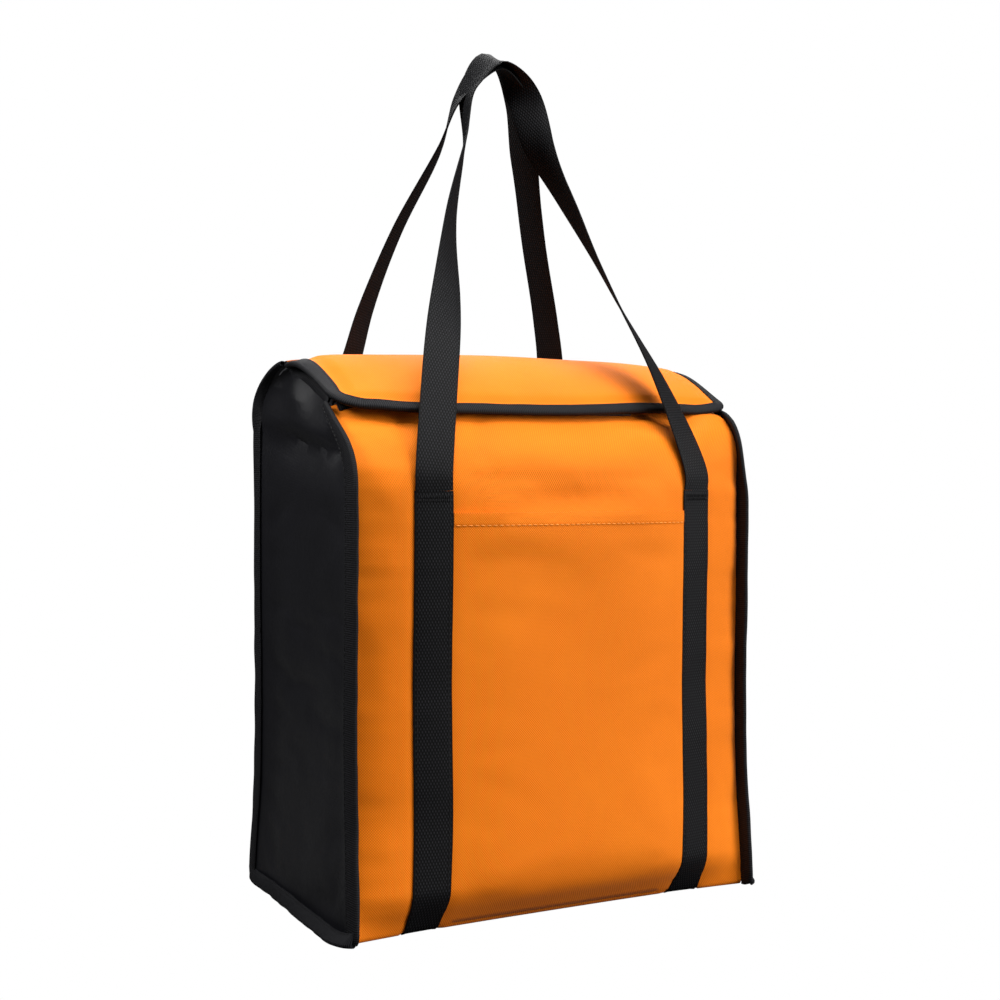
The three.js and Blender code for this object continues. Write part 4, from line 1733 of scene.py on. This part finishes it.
    def build_hooks(self) -> None:
        """Makes the hook strip under the lid's front."""
        strip = self.closure
        front = self.length - (self.overlap_middle - strip.inset - strip.width)
        columns = steps(-strip.reach, strip.reach, self.cell)
        rows = steps(front - strip.width, front, self.cell / 2)
        top = -self.film_end - self.closure_gap
        shell = Shell()
        shell.wall(columns, rows, lambda x, run: self.point(x, run, top),
                   lambda x, run: self.point(x, run, top - strip.thickness))
        piece = dress(shell.finish("hook_tape"), self.wardrobe.hooks, "binding_tape", "hook_strip")
        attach(piece, "lid")


@dataclass
class LoopShape:
    """How a free handle hangs: its legs, its top, and its width's heading up each leg in degrees."""

    face: Face
    legs: list[tuple[float, float, float]]
    top_y: float
    rise: float
    left_headings: list[tuple[float, float]]
    right_headings: list[tuple[float, float]]
    top_shift: float


@dataclass
class Straps(SewnPart):
    """Webbing: two bands sewn round the bag and two free loops."""

    cell: float = 0.0035
    thickness: float = 0.0016
    lift: float = 0.0003
    tilt: float = math.radians(30)
    tilt_from: float = 0.85
    shift_from: float = 0.6
    heading_blur: float = 0.05
    nest: float = 0.004
    rise: float = 0.3325
    front_top_y: float = 0.014
    bend_length: float = 0.026
    stitch_inset: float = 0.0024
    stitch_stop: float = 0.004
    tack_rows: int = 2
    tack_count: int = 16
    tack_width: float = 0.022
    tack_drop: float = 0.004
    tack_pitch: float = 0.0026
    tack_share: float = 0.9
    tack_thread: float = 0.0007
    front_legs: list[tuple[float, float, float]] = field(default_factory=lambda: [
        (0.244, 0.85, 0.198), (0.427, 0.671, 0.439), (0.61, 0.504, 0.666), (0.793, 0.30, 0.857),
        (0.915, 0.22, 0.957)])
    back_legs: list[tuple[float, float, float]] = field(default_factory=lambda: [
        (0.15, 0.925, 0.01), (0.3, 0.836, 0.295), (0.427, 0.747, 0.388), (0.61, 0.564, 0.556),
        (0.793, 0.35, 0.82), (0.915, 0.245, 0.93)])

    def build(self) -> None:
        """Makes the bands and the loops."""
        for side in Side:
            self.build_band(side)
            self.build_band_stitches(side)
        for face in Face:
            self.build_tacks(face)
        front = LoopShape(
            Face.FRONT, self.front_legs, self.front_top_y, self.rise,
            left_headings=[(0.0, -13.4), (0.31, -8.0), (0.52, 38.0), (0.58, 46.0), (0.755, 60.0),
                           (0.86, 78.0), (1.0, 100.0)],
            right_headings=[(0.0, 13.4), (0.1, 17.0), (0.32, 44.0), (0.45, 57.0), (0.56, 65.0), (0.62, 78.0),
                            (0.74, 94.0), (0.82, 128.0), (0.88, 148.0), (0.94, 140.0), (1.0, 100.0)],
            top_shift=0.002)
        back = LoopShape(
            Face.BACK, self.back_legs, self.front_top_y + self.nest * math.sin(self.tilt),
            self.rise - self.nest * math.cos(self.tilt),
            left_headings=[(0.0, 13.4), (0.25, 28.0), (0.5, 45.0), (0.78, 57.0), (0.9, 75.0), (1.0, 100.0)],
            right_headings=[(0.0, 166.6), (0.12, 140.0), (0.3, 112.0), (0.5, 104.0), (0.74, 102.0),
                            (0.82, 118.0), (0.9, 126.0), (1.0, 100.0)],
            top_shift=0.003)
        self.build_loop(front)
        self.build_loop(back)

    def build_band(self, side: Side) -> None:
        """Makes one sewn band, up the front, under the base and up the back."""
        form = self.form
        middle = side.value * form.band_middle
        height = self.lift + self.thickness / 2
        shell = Shell()
        shell.band(form.band_width, self.thickness, steps(form.front_top, form.back_top, self.cell),
                   lambda corner, distance: form.wrap(middle + corner[0], distance, height + corner[1]))
        piece = dress(shell.finish(f"{side.word}_band"), self.wardrobe.webbing, "black_webbing",
                      f"{side.word}_webbing")
        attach(piece, "root")

    def leg_points(self, shape: LoopShape) -> list[Vector]:
        """The points that a loop hangs through, from its left foot to its right foot."""
        form = self.form
        sewn = form.front_top if shape.face is Face.FRONT else form.back_top
        foot = form.wrap(form.band_middle, sewn, self.lift + self.thickness / 2)
        leg = [foot, foot + Vector((0.0, 0.0, form.band_width / 2))]
        for up, spread, lean in shape.legs:
            leg.append(Vector((foot.x * spread, mix(foot.y, shape.top_y, lean), foot.z + shape.rise * up)))
        top = Vector((0.0, shape.top_y, foot.z + shape.rise))
        left = [Vector((-at.x, at.y, at.z)) for at in leg]
        line = [*left, top, *reversed(leg)]
        for at in line:
            at.x += shape.top_shift * ease((at.z - foot.z) / shape.rise, self.shift_from, 1.0)
        return line

    @staticmethod
    def smooth_line(points: Sequence[Vector], cell: float) -> list[Vector]:
        """An even line through the points, by a centripetal spline.

        Args:
            points: the points to pass through.
            cell: the spacing along the line.

        Returns:
            Evenly spaced points.
        """
        cuts = 40
        padded = [points[0] * 2 - points[1], *points, points[-1] * 2 - points[-2]]
        dense: list[Vector] = [points[0]]
        for spots in zip(padded, padded[1:], padded[2:], padded[3:]):
            before, start, end, after = spots
            came, goes, comes = (math.sqrt((b - a).length) for a, b in pairwise(spots))
            lead = (start - before) / came - (end - before) / (came + goes) + (end - start) / goes
            trail = (end - start) / goes - (after - start) / (goes + comes) + (after - end) / comes
            handle = goes / 3
            knots = (start, start + lead * handle, end - trail * handle, end)
            dense.extend(interpolate_bezier(*knots, cuts)[1:])
        runs = running((b - a).length for a, b in pairwise(dense))
        line = []
        index = 0
        for run in steps(0.0, runs[-1], cell):
            while index < len(runs) - 2 and runs[index + 1] < run:
                index += 1
            share = (run - runs[index]) / (runs[index + 1] - runs[index])
            line.append(dense[index].lerp(dense[index + 1], share))
        return line

    def build_loop(self, shape: LoopShape) -> None:
        """Makes one free loop, a flat band that turns on each leg."""
        form = self.form
        line = self.smooth_line(self.leg_points(shape), self.cell)
        foot = line[0].z
        frames = {}
        stations = []
        for i, at in enumerate(line):
            along = (line[min(i + 1, len(line) - 1)] - line[max(i - 1, 0)]).normalized()
            up = (at.z - foot) / shape.rise
            headings = shape.left_headings if i < len(line) / 2 else shape.right_headings
            heading = math.radians(along_table(headings, up, self.heading_blur))
            tilted = math.tan(self.tilt) * ease(up, self.tilt_from, 1.0)
            across = Vector((math.cos(heading), math.sin(heading), tilted))
            across = (across - along * across.dot(along)).normalized()
            station = i * self.cell
            stations.append(station)
            frames[station] = (at, across, along.cross(across))

        def place(corner: Corner, station: float) -> Vector:
            """A corner of the band's section at a station."""
            at, across, face = frames[station]
            return at + across * corner[0] + face * corner[1]

        shell = Shell()
        shell.band(form.band_width, self.thickness, stations, place)
        word = shape.face.word
        piece = dress(shell.finish(f"{word}_loop"), self.wardrobe.webbing, "black_webbing",
                      f"{word}_handle")
        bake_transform(piece)

    def build_tacks(self, face: Face) -> None:
        """Makes the bar tacks that hold a loop's feet."""
        form = self.form
        top = form.front_top if face is Face.FRONT else form.back_top
        shell = Shell()
        height = self.lift + self.thickness + self.tack_thread / 3
        for side in Side:
            for row in range(self.tack_rows):
                distance = top - face.value * (self.tack_drop + row * self.tack_pitch)
                for i in range(self.tack_count):
                    aside = ((i + 0.5) / self.tack_count - 0.5) * self.tack_width
                    x = side.value * form.band_middle + aside
                    at, _, along, out = form.wrap_frame(x, distance, height)
                    shell.stitch(at, along, out, self.tack_share * self.tack_pitch, self.tack_thread)
        piece = dress(shell.finish(f"{face.word}_tacks"), self.wardrobe.black_thread, "black_webbing")
        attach(piece, "root")

    def build_band_stitches(self, side: Side) -> None:
        """Makes the two rows of stitches that hold a band to the wrap."""
        form = self.form
        shell = Shell()
        row = StitchRow()
        for edge in Side:
            x = side.value * form.band_middle + edge.value * (form.band_width / 2 - self.stitch_inset)
            start, end = form.front_top + self.stitch_stop, form.back_top - self.stitch_stop
            spots, _, _, ups = zip(*[form.wrap_frame(x, distance, self.lift + self.thickness)
                                     for distance in steps(start, end, 2 * self.cell)])
            row.run(shell, spots, ups)
        stitches = shell.finish(f"{side.word}_band_stitches")
        piece = dress(stitches, self.wardrobe.black_thread, "black_webbing")
        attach(piece, "root")


@dataclass
class Pocket(SewnPart):
    """The slip pocket on the front and the loop strip above it."""

    edge_gap: float = 0.0003
    lift: float = 0.0003
    cloth: float = 0.0008
    slack: float = 0.0012
    slack_share: float = 0.4
    slack_power: float = 3.0
    open_run: float = 0.05
    base_run: float = 0.03
    hem: float = 0.0085
    hem_fold: float = 0.0006
    hem_edge: float = 0.001
    hem_run: float = 0.012
    hem_cell: float = 0.001
    stitch: float = 0.0032
    stitch_gap: float = 0.0012
    stitch_stop: float = 0.003
    stitch_lift: float = 0.0001
    thread: float = 0.0007
    closure: Closure = Closure()

    def build(self) -> None:
        """Makes the pocket, its hem stitches and the loop strip."""
        self.build_panel()
        self.build_hem_stitches()
        self.build_loop_strip()

    @property
    def top(self) -> float:
        """The pocket's mouth, as a distance along the seam."""
        return self.form.front_top + self.form.pocket_drop

    @property
    def reach(self) -> float:
        """Half the pocket's width, up to the bands."""
        return self.form.band_inner - self.edge_gap

    def height(self, x: float, distance: float) -> float:
        """How far the pocket's cloth stands off the wall: its slack and the doubled hem."""
        bottom = self.form.front_bottom
        inside = 1 - abs(x / self.reach) ** self.slack_power
        down = distance - self.top
        open_top = mix(1.0, self.slack_share, ease(down, 0.0, self.open_run))
        off_base = 1 - ease(distance, bottom - self.base_run, bottom)
        doubled = self.hem_fold * (1 - ease(down, self.hem - self.hem_edge, self.hem + self.hem_edge))
        return self.lift + self.slack * inside * open_top * off_base + doubled

    def build_panel(self) -> None:
        """Makes the pocket's cloth, open at its top."""
        form, reach = self.form, self.reach
        columns = steps(-reach, reach, self.cell)
        hem_end = self.top + self.hem_run
        rows = joined(steps(self.top, hem_end, self.hem_cell), steps(hem_end, form.front_bottom, self.cell))
        shell = Shell()
        shell.wall(columns, rows, lambda x, s: form.wrap(x, s, self.height(x, s) + self.cloth),
                   lambda x, s: form.wrap(x, s, self.lift))
        piece = dress(shell.finish("pocket_panel"), self.wardrobe.orange, "orange_oxford", "front_pocket")
        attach(piece, "root")

    def build_hem_stitches(self) -> None:
        """Makes the row of stitches that holds the pocket's hem."""
        form = self.form
        reach = form.band_inner - self.stitch_stop
        distance = self.top + self.hem
        shell = Shell()
        for x in steps(-reach, reach, self.stitch + self.stitch_gap):
            height = self.height(x, distance) + self.cloth + self.stitch_lift
            at, across, _, out = form.wrap_frame(x, distance, height)
            shell.stitch(at, across, out, self.stitch, self.thread)
        piece = dress(shell.finish("pocket_hem_stitches"), self.wardrobe.orange_thread, "orange_oxford")
        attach(piece, "root")

    def build_loop_strip(self) -> None:
        """Makes the loop strip on the front's sloping top."""
        form, strip = self.form, self.closure
        columns = steps(-strip.reach, strip.reach, self.cell)
        rows = steps(strip.inset, strip.inset + strip.width, self.cell / 2)
        shell = Shell()
        shell.wall(columns, rows, lambda x, s: form.wrap(x, s, self.lift + strip.thickness),
                   lambda x, s: form.wrap(x, s, self.lift))
        piece = dress(shell.finish("loop_tape"), self.wardrobe.loops, "binding_tape", "loop_strip")
        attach(piece, "root")


@dataclass(frozen=True)
class Lamp:
    """A soft area light aimed at a point."""

    name: str
    at: tuple[float, float, float]
    aim: tuple[float, float, float]
    size: float
    watts: float

    def build(self) -> None:
        """Adds the light."""
        light = bpy.data.lights.new(self.name, "AREA")
        light.shape = "DISK"
        light.size = self.size
        light.energy = self.watts
        lamp = bpy.data.objects.new(self.name, light)
        lamp.location = self.at
        lamp.rotation_euler = (Vector(self.aim) - Vector(self.at)).to_track_quat("-Z", "Y").to_euler()
        bpy.context.collection.objects.link(lamp)


@dataclass
class Studio:
    """Pale floor, soft light and the photograph's camera."""

    camera_at: tuple[float, float, float] = (-0.5819, -1.0365, 0.3074)
    camera_turn: float = -math.atan2(0.4893, 0.8721)
    lens: float = 56.06
    sensor: float = 36.0
    shift_y: float = -0.0194
    floor_size: float = 6.0
    floor_grey: float = 0.08
    sky: float = 0.11
    gloss: float = 0.05
    lamps: list[Lamp] = field(default_factory=lambda: [
        Lamp("key_light", (1.7, -2.1, 1.2), (0.0, 0.0, 0.25), 3.0, 95.0),
        Lamp("top_light", (-0.1, -0.7, 2.3), (0.0, 0.0, 0.3), 1.6, 50.0),
        Lamp("left_light", (-0.75, 0.1, 0.85), (-0.16, 0.0, 0.28), 0.35, 6.0),
        Lamp("back_light", (0.9, 1.7, 2.2), (0.0, 0.0, 0.3), 2.0, 36.0),
    ])

    def build(self) -> None:
        """Makes the whole studio."""
        self.build_camera()
        self.build_floor()
        self.build_world()
        for lamp in self.lamps:
            lamp.build()
        bpy.context.scene.view_settings.view_transform = "Standard"

    def build_camera(self) -> None:
        """Adds the level camera."""
        data = bpy.data.cameras.new("photo_camera")
        data.sensor_width = self.sensor
        data.lens = self.lens
        data.shift_y = self.shift_y
        camera = bpy.data.objects.new("photo_camera", data)
        camera.location = self.camera_at
        camera.rotation_euler = (math.pi / 2, 0.0, self.camera_turn)
        bpy.context.collection.objects.link(camera)
        bpy.context.scene.camera = camera

    def build_floor(self) -> None:
        """Adds the floor, which lights the bag from below and looks plain white."""
        mesh = bmesh.new()
        bmesh.ops.create_grid(mesh, x_segments=8, y_segments=8, size=self.floor_size)
        data = bpy.data.meshes.new("studio_floor")
        mesh.to_mesh(data)
        mesh.free()
        floor = bpy.data.objects.new("studio_floor", data)
        bpy.context.collection.objects.link(floor)
        material, graph = new_material("pale_floor")
        seen = graph.add("ShaderNodeLightPath", output="Is Camera Ray")
        grey = paint(self.floor_grey, self.floor_grey, self.floor_grey)
        lit = graph.add("ShaderNodeBsdfDiffuse", inputs={"Color": grey})
        glow = graph.add("ShaderNodeEmission", inputs={"Strength": 1.0})
        surface = graph.add("ShaderNodeMixShader", inputs={0: seen, 1: lit, 2: glow})
        graph.close("ShaderNodeOutputMaterial", surface)
        data.materials.append(material)

    def build_world(self) -> None:
        """Sets a surround that looks white and lights the bag softly."""
        world = bpy.data.worlds.new("studio")
        world.use_nodes = True
        bpy.context.scene.world = world
        graph = Graph(world.node_tree)
        seen = graph.add("ShaderNodeLightPath", output="Is Camera Ray")
        glossy = graph.add("ShaderNodeLightPath", output="Is Glossy Ray")
        strength = self.sky + (1 - self.sky) * seen + (self.gloss - self.sky) * glossy
        white = paint(1.0, 1.0, 1.0)
        backdrop = graph.add("ShaderNodeBackground", inputs={"Color": white, "Strength": strength})
        graph.close("ShaderNodeOutputWorld", backdrop)


def main() -> None:
    """Builds the bag and its studio in order."""
    logging.basicConfig(level=logging.INFO, format="%(message)s")
    form = BagForm()
    form.settle()
    wardrobe = Wardrobe(form.band_width)
    sewn = [kind(form, wardrobe) for kind in (Body, Lid, Straps, Pocket)]
    for part in (Studio(), *sewn):
        LOG.info("building %s", type(part).__name__)
        part.build()


if __name__ == "__main__":
    main()
